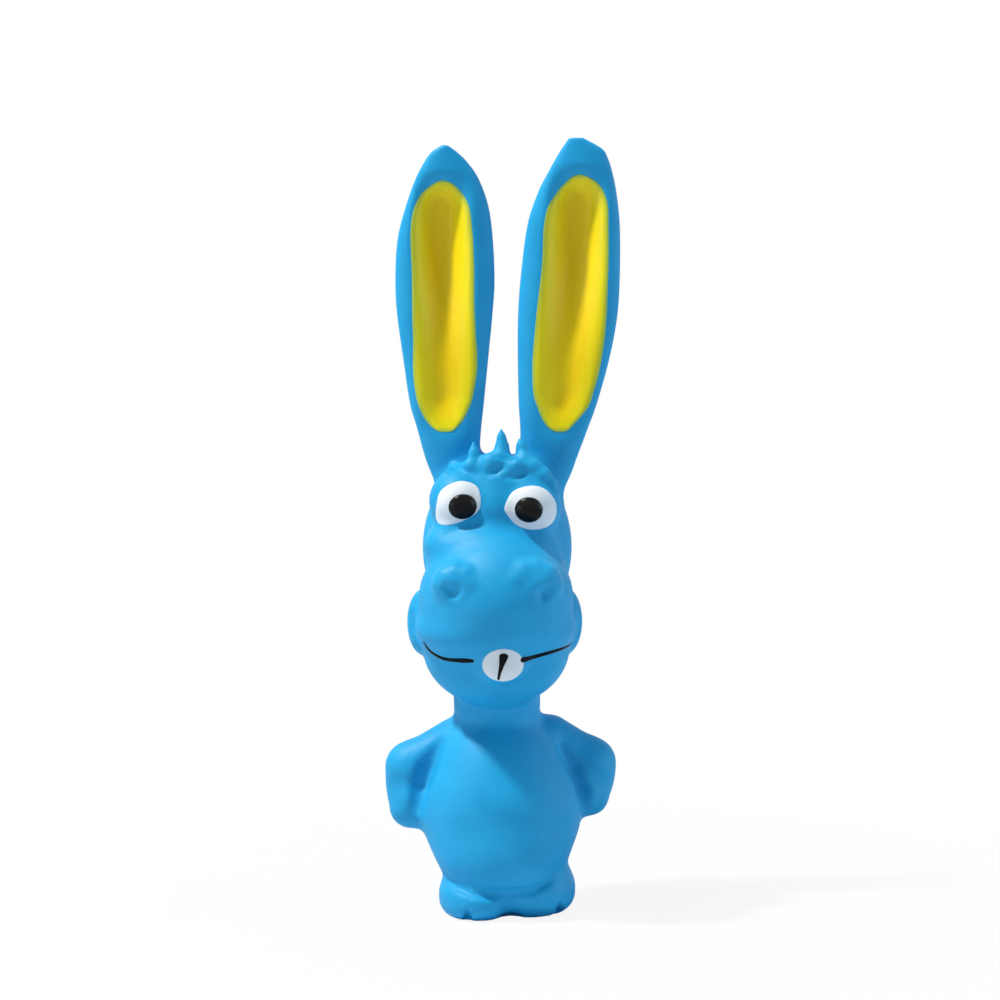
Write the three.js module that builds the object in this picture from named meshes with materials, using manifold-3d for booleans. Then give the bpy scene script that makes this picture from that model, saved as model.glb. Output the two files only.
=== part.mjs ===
// Squeaky dog toy: a hollow latex donkey that stands with its hands on its hips, with two long
// scooped ears that bend at their roots and a reed squeaker pressed into its base.
// Millimetres, +Z up. It faces -Y, its own left is +X, and its soles stand on Z = 0.
import * as THREE from 'three';
import { mergeVertices } from 'three/addons/utils/BufferGeometryUtils.js';
import Module from 'manifold-3d';

const wasm = await Module();
wasm.setup();

// Driving sizes of the whole toy
const toyHeight = 165;
const torsoWidth = 35;
const torsoDepth = 31;
const torsoHeight = 44;
const headWidth = 36;
const headDepth = 39;
const headHeight = 54;
const latexWall = 1.4;
const seatGap = 0.3;
const swingClearance = 0.05;

// Arms, elbow to elbow, and their thickness at the elbow
const armSpread = 48.8;
const armThickness = 10.2;

// Feet, and how deep their undersides are cut flat
const footLength = 21.6;
const footWidth = 16.4;
const footHeight = 8.3;
const soleCut = 0.5;

// Ears: widest width, thickness, thickness of the root, and how far the hinge line lies below the crown
const earWidth = 20.9;
const earThickness = 7.4;
const earRootThickness = 6.4;
const earHingeDrop = 0.8;
const earScoopDepth = 4.2;
const earLeanBack = 2;

// Painted coats on the latex
const paintThickness = 0.4;
const liningGap = 0.52;
const eyeGap = 0.42;
const pupilDome = 1.1;
const toothDome = 0.5;
const toothLineWidth = 1.5;
const mouthLineWidth = 1;

// Forelock spikes
const spikeLength = 6.4;
const spikeThickness = 4.4;
const spikeTipThickness = 0.8;

// Squeaker, pressed into the hole in the base
const squeakerAcross = 2;
const squeakerBack = -1;
const baseRecess = 1.6;
const barrelRadius = 5.3;
const barrelWall = 0.9;
const barrelHeight = 12;
const flangeRadius = 7.2;
const flangeThickness = 1;
const lipRadius = 6.6;
const barrelFloor = 1;
const capThickness = 1;
const capSkirt = 1.8;
const capHoleRadius = 0.7;
const capHoles = 6;
const capCircleShare = 0.7;
const holderRadius = 2.4;
const holderBore = 1.7;
const holderLength = 8.4;
const holderCollarRadius = 3.3;
const holderCollar = 0.8;
const troughShare = 0.62;
const reedLength = 5.6;
const reedWidth = 2.6;
const reedThickness = 0.25;
const clipLength = 1.7;
const clipThickness = 1.1;

// Fineness of the faceted surfaces
const skinRingStep = 2.12;
const skinSegments = 46;
const backThinningShare = 0.22;
const sideCrowdingShare = 0.1;
const armRingShare = 0.55;
const soleFans = 6;
const crownFans = 12;
const relaxRounds = 14;
const settleRounds = 2;
const cavityRingStep = 5;
const cavitySegments = 20;
const cavityFans = 5;
const roundSegments = 20;
const mergeTolerance = 1e-4;

// Materials
const latexBlue = new THREE.MeshStandardMaterial({ color: 0x2f9fdc, roughness: 0.55, metalness: 0 });
const liningYellow = new THREE.MeshStandardMaterial({ color: 0xe6d61e, roughness: 0.5, metalness: 0 });
const paintWhite = new THREE.MeshStandardMaterial({ color: 0xebe8ea, roughness: 0.45, metalness: 0 });
const paintBlack = new THREE.MeshStandardMaterial({ color: 0x0b0b0d, roughness: 0.15, metalness: 0 });
const squeakerWhite = new THREE.MeshStandardMaterial({ color: 0xf1efe8, roughness: 0.4, metalness: 0 });
const reedFilm = new THREE.MeshStandardMaterial({ color: 0xd8d8d2, roughness: 0.3, metalness: 0 });

// Boxes that the rounded masses are set out in: width, depth, height, and where the box stands
const torsoBox = { width: torsoWidth, depth: torsoDepth, height: torsoHeight, base: 0 };
const headBox = { width: headWidth, depth: headDepth, height: headHeight, base: torsoHeight };

// Rounded masses, as shares of their box: place across, back and up, half size across, deep and up,
// and how softly each flows into the ones before it
const torsoMassShares = {
  chest: [0.003, -0.016, 0.75, 0.325, 0.365, 0.235, 0.12],
  belly: [0.02, -0.048, 0.5, 0.494, 0.494, 0.398, 0.12],
  paunch: [0.02, -0.24, 0.29, 0.355, 0.315, 0.19, 0.05],
};
const headMassShares = {
  neck: [-0.002, 0.02, 0.02, 0.258, 0.236, 0.24, 0.06],
  nape: [-0.005, 0.05, 0.296, 0.38, 0.295, 0.26, 0.1],
  skull: [0, 0.026, 0.63, 0.442, 0.333, 0.37, 0.1],
  jaw: [-0.016, -0.155, 0.255, 0.434, 0.325, 0.24, 0.05],
  muzzle: [-0.022, -0.244, 0.446, 0.452, 0.392, 0.258, 0.06],
  lip: [-0.028, -0.235, 0.335, 0.467, 0.35, 0.135, 0.07],
};
const faceMassShares = {
  rightCheek: [-0.445, -0.1, 0.346, 0.094, 0.115, 0.13, 0.03],
  leftCheek: [0.402, -0.1, 0.346, 0.094, 0.115, 0.13, 0.03],
  rightEyeball: [-0.238, -0.165, 0.83, 0.172, 0.188, 0.121, 0.045],
  leftEyeball: [0.178, -0.165, 0.813, 0.186, 0.188, 0.126, 0.045],
  rightNostrilMound: [-0.25, -0.475, 0.53, 0.13, 0.108, 0.072, 0.07],
  leftNostrilMound: [0.19, -0.475, 0.53, 0.13, 0.108, 0.072, 0.07],
  tooth: [0.002, -0.475, 0.222, 0.14, 0.085, 0.08, 0.07],
  forelock: [0.042, -0.169, 0.922, 0.236, 0.133, 0.085, 0.05],
};

// Hollows pressed softly into the masses, and nostril pits cut into them, in the same shares
const faceHollowShares = {
  browDip: [-0.07, -0.34, 0.79, 0.06, 0.06, 0.075, 0.06],
};
const nostrilPitShares = {
  right: [-0.3, -0.61, 0.515, 0.042, 0.062, 0.028, 0],
  left: [0.236, -0.61, 0.515, 0.042, 0.062, 0.028, 0],
};

// Each foot: its middle across and back as shares of its width and length, and how it is lifted and rounded
const footShares = {
  right: { across: -0.28, back: -0.24, toeLift: 0, round: 0.85, softness: 0.1 },
  left: { across: 0.5, back: -0.18, toeLift: 0.1, round: 0.9, softness: 0.2 },
};

// Notches between the toes, cut into the front of the feet, as shares of the torso box
const toeNotchShares = [
  [-0.2, -0.535, 0.03, 0.026, 0.07, 0.055, 0],
  [0.36, -0.475, 0.04, 0.026, 0.065, 0.06, 0],
];

// The low round base between the feet, as shares of the torso box
const baseShares = {
  across: 0.057, back: -0.03, halfWidth: 0.36, halfDepth: 0.345, halfHeight: 0.12, round: 0.7,
  softness: 0.1,
};

// Arms: joints as shares of half the arm spread, the torso's depth and height, and of the arm's thickness
const armShares = {
  right: {
    shoulder: { across: -0.4, back: 0.08, up: 0.8, thick: 0.94 },
    elbow: { across: -0.785, back: 0.2, up: 0.69, thick: 0.94 },
    hand: { across: -0.765, back: 0.0, up: 0.51, thick: 0.92 },
  },
  left: {
    shoulder: { across: 0.47, back: 0.08, up: 0.82, thick: 0.95 },
    elbow: { across: 0.83, back: 0.2, up: 0.7, thick: 0.96 },
    hand: { across: 0.815, back: 0.0, up: 0.54, thick: 0.84 },
  },
};
const armJointSoftShare = 0.25;
const armBodySoftShare = 0.32;

// The spine that the skin's rings are drawn around: shares of the torso's width, head's depth and full stand
const spineShares = [
  [0.05, -0.03, 0.05],
  [0.02, -0.03, 0.3],
  [0, 0, 0.46],
  [-0.02, -0.1, 0.64],
  [-0.01, -0.04, 0.86],
];

// Ears: height along the ear, inner edge and outer edge from the root's middle, as shares of the ear's
// length and width, with the length of each ear as a share of the full reach
const earEdgeShares = {
  left: [
    [0, -0.273, 0.307],
    [0.09, -0.276, 0.415],
    [0.171, -0.292, 0.51],
    [0.323, -0.301, 0.645],
    [0.457, -0.297, 0.72],
    [0.59, -0.263, 0.742],
    [0.737, -0.196, 0.737],
    [0.838, -0.086, 0.699],
    [0.898, 0.015, 0.656],
    [0.939, 0.088, 0.61],
    [0.966, 0.14, 0.555],
    [1, 0.215, 0.36],
  ],
  right: [
    [0, -0.275, 0.273],
    [0.1, -0.3, 0.36],
    [0.171, -0.325, 0.425],
    [0.32, -0.372, 0.495],
    [0.46, -0.415, 0.555],
    [0.56, -0.437, 0.572],
    [0.7, -0.42, 0.548],
    [0.81, -0.372, 0.46],
    [0.9, -0.265, 0.355],
    [0.95, -0.15, 0.27],
    [0.98, -0.05, 0.2],
    [1, 0.04, 0.1],
  ],
};
const earReachShares = { left: 1, right: 0.977 };

// The cup on the crown that holds an ear's root: drop below the hinge line as a share of the root's radius,
// inner edge and outer edge as shares of the ear's width, and half thickness as a share of the root's radius
const earCupShares = {
  left: [
    [2.9, -0.1, 0.1, 0.8],
    [2.1, -0.2, 0.165, 1.15],
    [1.35, -0.25, 0.215, 1.3],
    [0.75, -0.262, 0.258, 1.28],
    [0.4, -0.262, 0.275, 1.18],
  ],
  right: [
    [2.9, -0.1, 0.1, 0.8],
    [2.1, -0.2, 0.18, 1.15],
    [1.35, -0.25, 0.21, 1.3],
    [0.75, -0.26, 0.235, 1.28],
    [0.4, -0.26, 0.25, 1.18],
  ],
};

// Where each ear stands, as a share of the head's width, and both as a share of its depth
const earSpreadShares = { left: 0.307, right: 0.267 };
const earBackShare = 0.0385;

// How far an ear bends back and forward from upright, in degrees
const earBend = { back: -50, forward: 20 };

// Yellow linings: height along the ear, inner edge and outer edge, in the same shares as the ear
const liningEdgeShares = {
  left: [
    [0.088, 0.03, 0.16],
    [0.1, -0.03, 0.235],
    [0.13, -0.085, 0.3],
    [0.19, -0.15, 0.385],
    [0.33, -0.175, 0.49],
    [0.457, -0.145, 0.553],
    [0.62, -0.088, 0.59],
    [0.737, -0.06, 0.588],
    [0.8, -0.015, 0.565],
    [0.845, 0.075, 0.52],
    [0.878, 0.15, 0.43],
    [0.89, 0.21, 0.36],
  ],
  right: [
    [0.092, 0, 0.15],
    [0.103, -0.07, 0.215],
    [0.13, -0.135, 0.28],
    [0.19, -0.205, 0.36],
    [0.3, -0.24, 0.412],
    [0.46, -0.22, 0.414],
    [0.62, -0.205, 0.425],
    [0.75, -0.185, 0.435],
    [0.82, -0.15, 0.4],
    [0.86, -0.08, 0.32],
    [0.888, -0.01, 0.225],
    [0.897, 0.04, 0.165],
  ],
};
const scoopMarginShare = 0.16;
const scoopEndShare = 0.13;
const scoopFloorPower = 3;
const scoopSidePower = 1.5;

// Eye whites: middle as shares of the head box, and outline points as shares of the eye's width
const eyeWhiteShares = {
  right: {
    middle: [-0.25, 0.828],
    outline: [[-0.42, -0.03], [-0.32, 0.27], [0.02, 0.45], [0.35, 0.38], [0.46, 0.18], [0.42, -0.14],
      [0.04, -0.37], [-0.3, -0.44], [-0.42, -0.34]],
  },
  left: {
    middle: [0.178, 0.812],
    outline: [[-0.53, 0.02], [-0.36, 0.32], [0, 0.44], [0.3, 0.36], [0.5, 0.12], [0.53, -0.12],
      [0.45, -0.33], [0.26, -0.43], [0, -0.45], [-0.28, -0.36], [-0.47, -0.16]],
  },
};

// Pupils: middle as shares of the head box, and width and height as shares of the pupil's size
const pupilShares = {
  right: { middle: [-0.22, 0.818], width: 0.93, height: 0.89 },
  left: { middle: [0.163, 0.805], width: 1, height: 0.84 },
};

// Tooth middle, and the smile's points across and up, as shares of the head box
const toothMiddleShares = [0.002, 0.222];
const toothLineShares = { top: [0.01, 0.282], foot: [-0.022, 0.186] };
const smileShares = {
  right: [[-0.145, 0.237], [-0.27, 0.24], [-0.37, 0.258], [-0.44, 0.29]],
  left: [[0.14, 0.236], [0.23, 0.246], [0.33, 0.264], [0.41, 0.288]],
};

// Widths of the painted features as shares of the head's width, and the tooth's height as one of its height
const eyeWidthShare = 0.29;
const pupilWidthShare = 0.1417;
const toothWidthShare = 0.24;
const toothHeightShare = 0.133;

// Forelock spikes: foot and tip, across and back as shares of the head box, up from the crown as a share
// of the spike's length, and thickness as a share
const spikeShares = [
  { foot: [-0.145, -0.16, -0.5], tip: [-0.158, -0.18, 0.53], thick: 0.9 },
  { foot: [0.005, -0.15, -0.3], tip: [0.008, -0.17, 0.93], thick: 1 },
  { foot: [0.1, -0.15, -0.3], tip: [0.117, -0.17, 0.6], thick: 0.65 },
];

// Locks of the forelock that lie on the brow: points across and up as shares of the head box, and thickness
// as a share of the spikes'
const lockShares = [
  { line: [[0.06, 1.0], [0.15, 0.985], [0.25, 0.955], [0.34, 0.9]], thick: 0.75 },
  { line: [[0.0, 0.955], [0.08, 0.965], [0.16, 0.945]], thick: 0.7 },
  { line: [[-0.13, 0.955], [-0.06, 0.97], [0.0, 0.985]], thick: 0.62 },
];
const lockEndShare = 0.35;

// Places worked out from the driving sizes
const standHeight = torsoHeight + headHeight;
const earHingeHeight = standHeight - earHingeDrop;
const earReach = toyHeight - earHingeHeight;
const eyeWidth = eyeWidthShare * headWidth;
const pupilWidth = pupilWidthShare * headWidth;
const toothWidth = toothWidthShare * headWidth;
const toothHeight = toothHeightShare * headHeight;
const earRootRadius = earRootThickness / 2;
const barrelBottom = seatGap;
const barrelTop = barrelBottom + barrelHeight;
const cavityFloor = baseRecess + latexWall;

// Distance to an oval mass, below zero inside: the point is scaled to a ball and back
function ovalDistance(point, oval) {
  const x = (point.x - oval.x) / oval.halfX;
  const y = (point.y - oval.y) / oval.halfY;
  const z = (point.z - oval.z) / oval.halfZ;
  const reach = Math.hypot(x, y, z);
  const slope = Math.hypot(x / oval.halfX, y / oval.halfY, z / oval.halfZ);
  return slope > 0 ? reach * (reach - 1) / slope : -Math.min(oval.halfX, oval.halfY, oval.halfZ);
}

// Distance to a limb, a straight stretch whose radius tapers from one end to the other
function limbDistance(point, limb) {
  const along = limb.to.clone().sub(limb.from);
  const reach = point.clone().sub(limb.from);
  const share = THREE.MathUtils.clamp(reach.dot(along) / along.lengthSq(), 0, 1);
  const radius = THREE.MathUtils.lerp(limb.fromRadius, limb.toRadius, share);
  return reach.addScaledVector(along, -share).length() - radius;
}

// Distance to a low round block whose top and bottom edges are rounded
function blockDistance(point, block) {
  const x = point.x - block.x;
  const y = (point.y - block.y) * block.halfX / block.halfY;
  const out = Math.hypot(x, y) - block.halfX + block.round;
  const up = Math.abs(point.z - block.z) - block.halfZ + block.round;
  return Math.hypot(Math.max(out, 0), Math.max(up, 0)) + Math.min(Math.max(out, up), 0) - block.round;
}

// The lower of two distances, rounded over where they are about equal, so that masses flow together
function flow(first, second, softness) {
  const near = Math.max(softness - Math.abs(first - second), 0) / softness;
  return Math.min(first, second) - near * near * softness / 4;
}

// One oval, set out from its shares of a box
function ovalIn(box, [across, back, up, halfWide, halfDeep, halfHigh, softness]) {
  return {
    distance: ovalDistance,
    x: across * box.width,
    y: back * box.depth,
    z: box.base + up * box.height,
    halfX: halfWide * box.width,
    halfY: halfDeep * box.depth,
    halfZ: halfHigh * box.height,
    softness: softness * box.width,
  };
}

function ovalsIn(box, table) {
  return Object.values(table).map((shares) => ovalIn(box, shares));
}

// A foot is a low round block that reaches below the floor by the depth that is cut flat
function footMass(shares) {
  const halfHeight = (footHeight + soleCut) / 2;
  return {
    distance: blockDistance,
    x: shares.across * footWidth,
    y: shares.back * footLength,
    z: halfHeight - soleCut + shares.toeLift * footHeight,
    halfX: footWidth / 2,
    halfY: footLength / 2,
    halfZ: halfHeight,
    round: shares.round * halfHeight,
    softness: shares.softness * footWidth,
  };
}

function baseMass() {
  const halfHeight = baseShares.halfHeight * torsoHeight;
  return {
    distance: blockDistance,
    x: baseShares.across * torsoWidth,
    y: baseShares.back * torsoDepth,
    z: halfHeight - soleCut,
    halfX: baseShares.halfWidth * torsoWidth,
    halfY: baseShares.halfDepth * torsoDepth,
    halfZ: halfHeight,
    round: baseShares.round * halfHeight,
    softness: baseShares.softness * torsoWidth,
  };
}

function armJoint(joint) {
  return {
    at: new THREE.Vector3(joint.across * armSpread / 2, joint.back * torsoDepth, joint.up * torsoHeight),
    radius: joint.thick * armThickness / 2,
  };
}

// Distance to one arm: the upper arm and the forearm, flowing together at the elbow
function armDistance(point, arm) {
  const upper = limbDistance(point, arm.upper);
  const lower = limbDistance(point, arm.lower);
  return flow(upper, lower, armJointSoftShare * armThickness);
}

function armMass(shares) {
  const shoulder = armJoint(shares.shoulder);
  const elbow = armJoint(shares.elbow);
  const hand = armJoint(shares.hand);
  return {
    distance: armDistance,
    upper: { from: shoulder.at, to: elbow.at, fromRadius: shoulder.radius, toRadius: elbow.radius },
    lower: { from: elbow.at, to: hand.at, fromRadius: elbow.radius, toRadius: hand.radius },
    softness: armBodySoftShare * armThickness,
  };
}

// Values between the rows of a table that starts with a height: a smooth curve through the rows
function tableCurve(table, column, height) {
  let row = table.findIndex((entry) => entry[0] > height) - 1;
  if (row < 0) row = height <= table[0][0] ? 0 : table.length - 2;
  const [before, low, high, after] = [row - 1, row, row + 1, row + 2].map(
    (index) => table[THREE.MathUtils.clamp(index, 0, table.length - 1)]);
  const span = high[0] - low[0];
  const share = (height - low[0]) / span;
  const slopeLow = (high[column] - before[column]) / (high[0] - before[0]) * span;
  const slopeHigh = (after[column] - low[column]) / (after[0] - low[0]) * span;
  const square = share * share;
  const cube = square * share;
  return (2 * cube - 3 * square + 1) * low[column] + (cube - 2 * square + share) * slopeLow
    + (3 * square - 2 * cube) * high[column] + (cube - square) * slopeHigh;
}

// One ear's own facts: which side it is on, its hinge point and its tables
function earOf(side, sign) {
  const edges = earEdgeShares[side];
  const rootMiddle = (edges[0][1] + edges[0][2]) / 2 * earWidth;
  return {
    side,
    sign,
    edges,
    lining: liningEdgeShares[side],
    rootMiddle,
    rootHalf: (edges[0][2] - edges[0][1]) / 2 * earWidth,
    hinge: new THREE.Vector3(sign * earSpreadShares[side] * headWidth, earBackShare * headDepth,
      earHingeHeight),
    reachShare: earReachShares[side],
  };
}

const ears = { left: earOf('left', 1), right: earOf('right', -1) };

// The main masses hold the cavity. The full form adds limbs, face and hair, and presses in the hollows.
const mainMasses = [
  baseMass(),
  ...ovalsIn(torsoBox, torsoMassShares),
  ...ovalsIn(headBox, headMassShares),
];
const addedMasses = [
  footMass(footShares.right),
  footMass(footShares.left),
  armMass(armShares.right),
  armMass(armShares.left),
  ...ovalsIn(headBox, faceMassShares),
];
const hollows = ovalsIn(headBox, faceHollowShares);

function mainForm(point) {
  return mainMasses.reduce((form, mass) => flow(form, mass.distance(point, mass), mass.softness), Infinity);
}

function toyForm(point) {
  const solid = addedMasses.reduce((form, mass) => flow(form, mass.distance(point, mass), mass.softness),
    mainForm(point));
  return hollows.reduce((form, mass) => -flow(-form, mass.distance(point, mass), mass.softness), solid);
}

// The direction in which a form grows fastest, by small steps each way
const probeStep = 0.02;

function slopeOf(form, point) {
  const step = (axis) => {
    const ahead = point.clone();
    const behind = point.clone();
    ahead[axis] += probeStep;
    behind[axis] -= probeStep;
    return (form(ahead) - form(behind)) / (2 * probeStep);
  };
  return new THREE.Vector3(step('x'), step('y'), step('z'));
}

// A point moved along the slope until the form has the wanted level there
function settle(form, point, level, rounds) {
  const settled = point.clone();
  for (let round = 0; round < rounds; round += 1) {
    const slope = slopeOf(form, settled);
    settled.addScaledVector(slope, (level - form(settled)) / slope.lengthSq());
  }
  return settled;
}

// The outermost place on a ray where the form falls below the level
const rayStep = 0.6;
const rayRounds = 22;

function outermost(form, origin, direction, reach, level) {
  const at = (distance) => origin.clone().addScaledVector(direction, distance);
  let outside = reach;
  while (outside > rayStep && form(at(outside - rayStep)) > level) outside -= rayStep;
  let inside = Math.max(outside - rayStep, 0);
  for (let round = 0; round < rayRounds; round += 1) {
    const middle = (inside + outside) / 2;
    if (form(at(middle)) > level) outside = middle;
    else inside = middle;
  }
  return at((inside + outside) / 2);
}

// Rings of rays: level ones along the spine, and at each end a fan that closes on a pole
function spineAt(height) {
  const table = spineShares.map(
    ([across, back, up]) => [up * standHeight, across * torsoWidth, back * headDepth]);
  return new THREE.Vector3(tableCurve(table, 1, height), tableCurve(table, 2, height), height);
}

// Heights of the level rings up the spine, with their own step where the arms stand out
function ringHeights(ringStep, armStep) {
  const low = spineShares[0][2] * standHeight;
  const high = spineShares[spineShares.length - 1][2] * standHeight;
  const armLow = armShares.right.hand.up * torsoHeight - armThickness / 2;
  const armHigh = armShares.right.shoulder.up * torsoHeight + armThickness / 2;
  const heights = [];
  let height = low;
  while (height < high - ringStep / 2) {
    heights.push(height);
    height += height > armLow && height < armHigh ? armStep : ringStep;
  }
  return [...heights, high];
}

function rayRings(heights, segments, lowFans, highFans) {
  const tilts = heights.map((height) => [height, 0]);
  for (let fan = 1; fan < lowFans; fan += 1) tilts.unshift([heights[0], -Math.PI / 2 * fan / lowFans]);
  const high = heights[heights.length - 1];
  for (let fan = 1; fan < highFans; fan += 1) tilts.push([high, Math.PI / 2 * fan / highFans]);
  return tilts.map(([height, tilt]) => {
    const origin = spineAt(height);
    return Array.from({ length: segments }, (_, index) => {
      const even = Math.PI * 2 * index / segments;
      const turn = even + backThinningShare * Math.sin(even) + sideCrowdingShare * Math.sin(2 * even);
      const direction = new THREE.Vector3(Math.sin(turn) * Math.cos(tilt), Math.cos(turn) * Math.cos(tilt),
        Math.sin(tilt));
      return { origin, direction };
    });
  });
}

// A closed surface through rings of equal counts, with a pole below the first and above the last
function loftSolid(rings, bottom, top) {
  const count = rings[0].length;
  const points = [...rings.flat(), bottom, top];
  const bottomIndex = points.length - 2;
  const topIndex = points.length - 1;
  const faces = [];
  for (let segment = 0; segment < count; segment += 1) {
    const next = (segment + 1) % count;
    faces.push(bottomIndex, next, segment);
    for (let ring = 0; ring + 1 < rings.length; ring += 1) {
      const low = ring * count;
      const high = low + count;
      faces.push(low + segment, low + next, high + next);
      faces.push(low + segment, high + next, high + segment);
    }
    const last = (rings.length - 1) * count;
    faces.push(last + segment, last + next, topIndex);
  }
  return facingOut(points, faces);
}

// Two layers of a grid joined along their four sides
function sheetSolid(inner, outer) {
  const rows = inner.length;
  const columns = inner[0].length;
  const points = [...inner.flat(), ...outer.flat()];
  const layer = rows * columns;
  const faces = [];
  const quad = (a, b, c, d) => faces.push(a, b, c, a, c, d);
  for (let row = 0; row + 1 < rows; row += 1) {
    for (let column = 0; column + 1 < columns; column += 1) {
      const corner = row * columns + column;
      quad(corner, corner + columns, corner + columns + 1, corner + 1);
      quad(layer + corner, layer + corner + 1, layer + corner + columns + 1, layer + corner + columns);
    }
  }
  const rim = [];
  for (let column = 0; column < columns - 1; column += 1) rim.push(column);
  for (let row = 0; row < rows - 1; row += 1) rim.push(row * columns + columns - 1);
  for (let column = columns - 1; column > 0; column -= 1) rim.push((rows - 1) * columns + column);
  for (let row = rows - 1; row > 0; row -= 1) rim.push(row * columns);
  rim.forEach((corner, index) => {
    const next = rim[(index + 1) % rim.length];
    quad(corner, next, layer + next, layer + corner);
  });
  return facingOut(points, faces);
}

// An indexed geometry whose faces are turned to point out of the volume they enclose
function facingOut(points, faces) {
  let volume = 0;
  for (let face = 0; face < faces.length; face += 3) {
    const [a, b, c] = [points[faces[face]], points[faces[face + 1]], points[faces[face + 2]]];
    volume += a.dot(b.clone().cross(c));
  }
  const index = volume < 0 ? faces.slice().reverse() : faces;
  const geometry = new THREE.BufferGeometry();
  const places = points.flatMap((point) => point.toArray());
  geometry.setAttribute('position', new THREE.Float32BufferAttribute(places, 3));
  geometry.setIndex(index);
  geometry.computeVertexNormals();
  return geometry;
}

// Solids for cutting and joining, and back to geometry
function solidOf(geometry) {
  const bare = geometry.clone();
  bare.deleteAttribute('normal');
  bare.deleteAttribute('uv');
  const merged = mergeVertices(bare, mergeTolerance);
  return new wasm.Manifold(new wasm.Mesh({
    numProp: 3,
    vertProperties: new Float32Array(merged.attributes.position.array),
    triVerts: new Uint32Array(merged.index.array),
  }));
}

function geometryOf(solid) {
  const mesh = solid.getMesh();
  const geometry = new THREE.BufferGeometry();
  geometry.setAttribute('position', new THREE.Float32BufferAttribute(mesh.vertProperties, 3));
  geometry.setIndex(Array.from(mesh.triVerts));
  geometry.computeVertexNormals();
  return geometry;
}

// The outer surface of the toy: rays give the rings, then the points are evened out along the surface
function outerSurface() {
  const reach = armSpread;
  const heights = ringHeights(skinRingStep, skinRingStep * armRingShare);
  const rays = rayRings(heights, skinSegments, soleFans, crownFans);
  const at = (ray) => outermost(toyForm, ray.origin, ray.direction, reach, 0);
  let rings = rays.map((ring) => ring.map(at));
  const down = new THREE.Vector3(0, 0, -1);
  const up = new THREE.Vector3(0, 0, 1);
  const bottom = outermost(toyForm, rays[0][0].origin, down, reach, 0);
  const top = outermost(toyForm, rays[rays.length - 1][0].origin, up, reach, 0);
  for (let round = 0; round < relaxRounds; round += 1) rings = evenedOut(rings, bottom, top);
  return loftSolid(rings, bottom, top);
}

// Each point goes half way to the middle of its four neighbours, then back onto the surface
function evenedOut(rings, bottom, top) {
  const count = rings[0].length;
  return rings.map((ring, row) => ring.map((point, column) => {
    const below = row > 0 ? rings[row - 1][column] : bottom;
    const above = row + 1 < rings.length ? rings[row + 1][column] : top;
    const middle = new THREE.Vector3()
      .add(below).add(above)
      .add(ring[(column + 1) % count])
      .add(ring[(column + count - 1) % count])
      .multiplyScalar(1 / 4);
    return settle(toyForm, point.clone().lerp(middle, 1 / 2), 0, settleRounds);
  }));
}

// The hollow inside, a latex wall within the main masses
function cavitySolid() {
  const reach = torsoWidth;
  const heights = ringHeights(cavityRingStep, cavityRingStep);
  const rays = rayRings(heights, cavitySegments, cavityFans, cavityFans);
  const at = (ray) => outermost(mainForm, ray.origin, ray.direction, reach, -latexWall);
  const rings = rays.map((ring) => ring.map(at));
  const ends = [rays[0][0].origin, rays[rays.length - 1][0].origin];
  const bottom = outermost(mainForm, ends[0], new THREE.Vector3(0, 0, -1), reach, -latexWall);
  const top = outermost(mainForm, ends[1], new THREE.Vector3(0, 0, 1), reach, -latexWall);
  return solidOf(loftSolid(rings, bottom, top));
}

// A ball stretched along X to an ear root's shape, grown by a clearance
function rootBall(ear, growth) {
  const ball = new THREE.SphereGeometry(1, roundSegments, roundSegments / 2);
  ball.rotateZ(Math.PI / 2);
  ball.scale(ear.rootHalf + growth, earRootRadius + growth, earRootRadius + growth);
  ball.translate(ear.hinge.x, ear.hinge.y, ear.hinge.z);
  return solidOf(ball);
}

// The cup on the crown round an ear's root, open at the top
const cupSegments = 20;

function earCup(ear) {
  const rings = earCupShares[ear.side].map(([drop, inner, outer, thick]) => {
    const middle = ear.hinge.x + ear.sign * ((inner + outer) / 2 * earWidth - ear.rootMiddle);
    const half = (outer - inner) / 2 * earWidth;
    return Array.from({ length: cupSegments }, (_, index) => {
      const turn = Math.PI * 2 * index / cupSegments;
      return new THREE.Vector3(middle + half * Math.cos(turn),
        ear.hinge.y + thick * earRootRadius * Math.sin(turn), ear.hinge.z - drop * earRootRadius);
    });
  });
  const poles = [rings[0], rings[rings.length - 1]].map((ring) => ring[0].clone().lerp(
    ring[cupSegments / 2], 1 / 2));
  return solidOf(loftSolid(rings, ...poles));
}

// An ear as it stands when bent by an angle, for opening its cup where the ear swings through
const swingSteps = 4;

function bentEar(ear, step) {
  const angle = THREE.MathUtils.lerp(earBend.back, earBend.forward, step / swingSteps);
  const bent = earSolid(ear, swingClearance);
  bent.translate(-ear.hinge.x, -ear.hinge.y, -ear.hinge.z);
  bent.rotateX(THREE.MathUtils.degToRad(angle));
  bent.translate(ear.hinge.x, ear.hinge.y, ear.hinge.z);
  return solidOf(bent);
}

// A plain box for cutting away everything below a height
function boxBelow(height) {
  const size = toyHeight;
  const box = new THREE.BoxGeometry(size, size, size);
  box.translate(0, 0, height - size / 2);
  return solidOf(box);
}

// A turned solid around an upright line at the squeaker's place
function turned(profile) {
  const points = profile.map(([radius, height]) => new THREE.Vector2(radius, height));
  const geometry = new THREE.LatheGeometry([...points, points[0].clone()], roundSegments);
  geometry.rotateX(Math.PI / 2);
  geometry.translate(squeakerAcross, squeakerBack, 0);
  return geometry;
}

// The recess under the base and the hole through it that grips the squeaker
function baseCutter() {
  const overrun = soleCut * 2;
  const hole = barrelRadius + seatGap;
  const recess = flangeRadius + seatGap;
  return solidOf(turned([
    [0, -overrun], [recess, -overrun], [recess, baseRecess], [hole, baseRecess],
    [hole, cavityFloor + overrun], [0, cavityFloor + overrun],
  ]));
}

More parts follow.
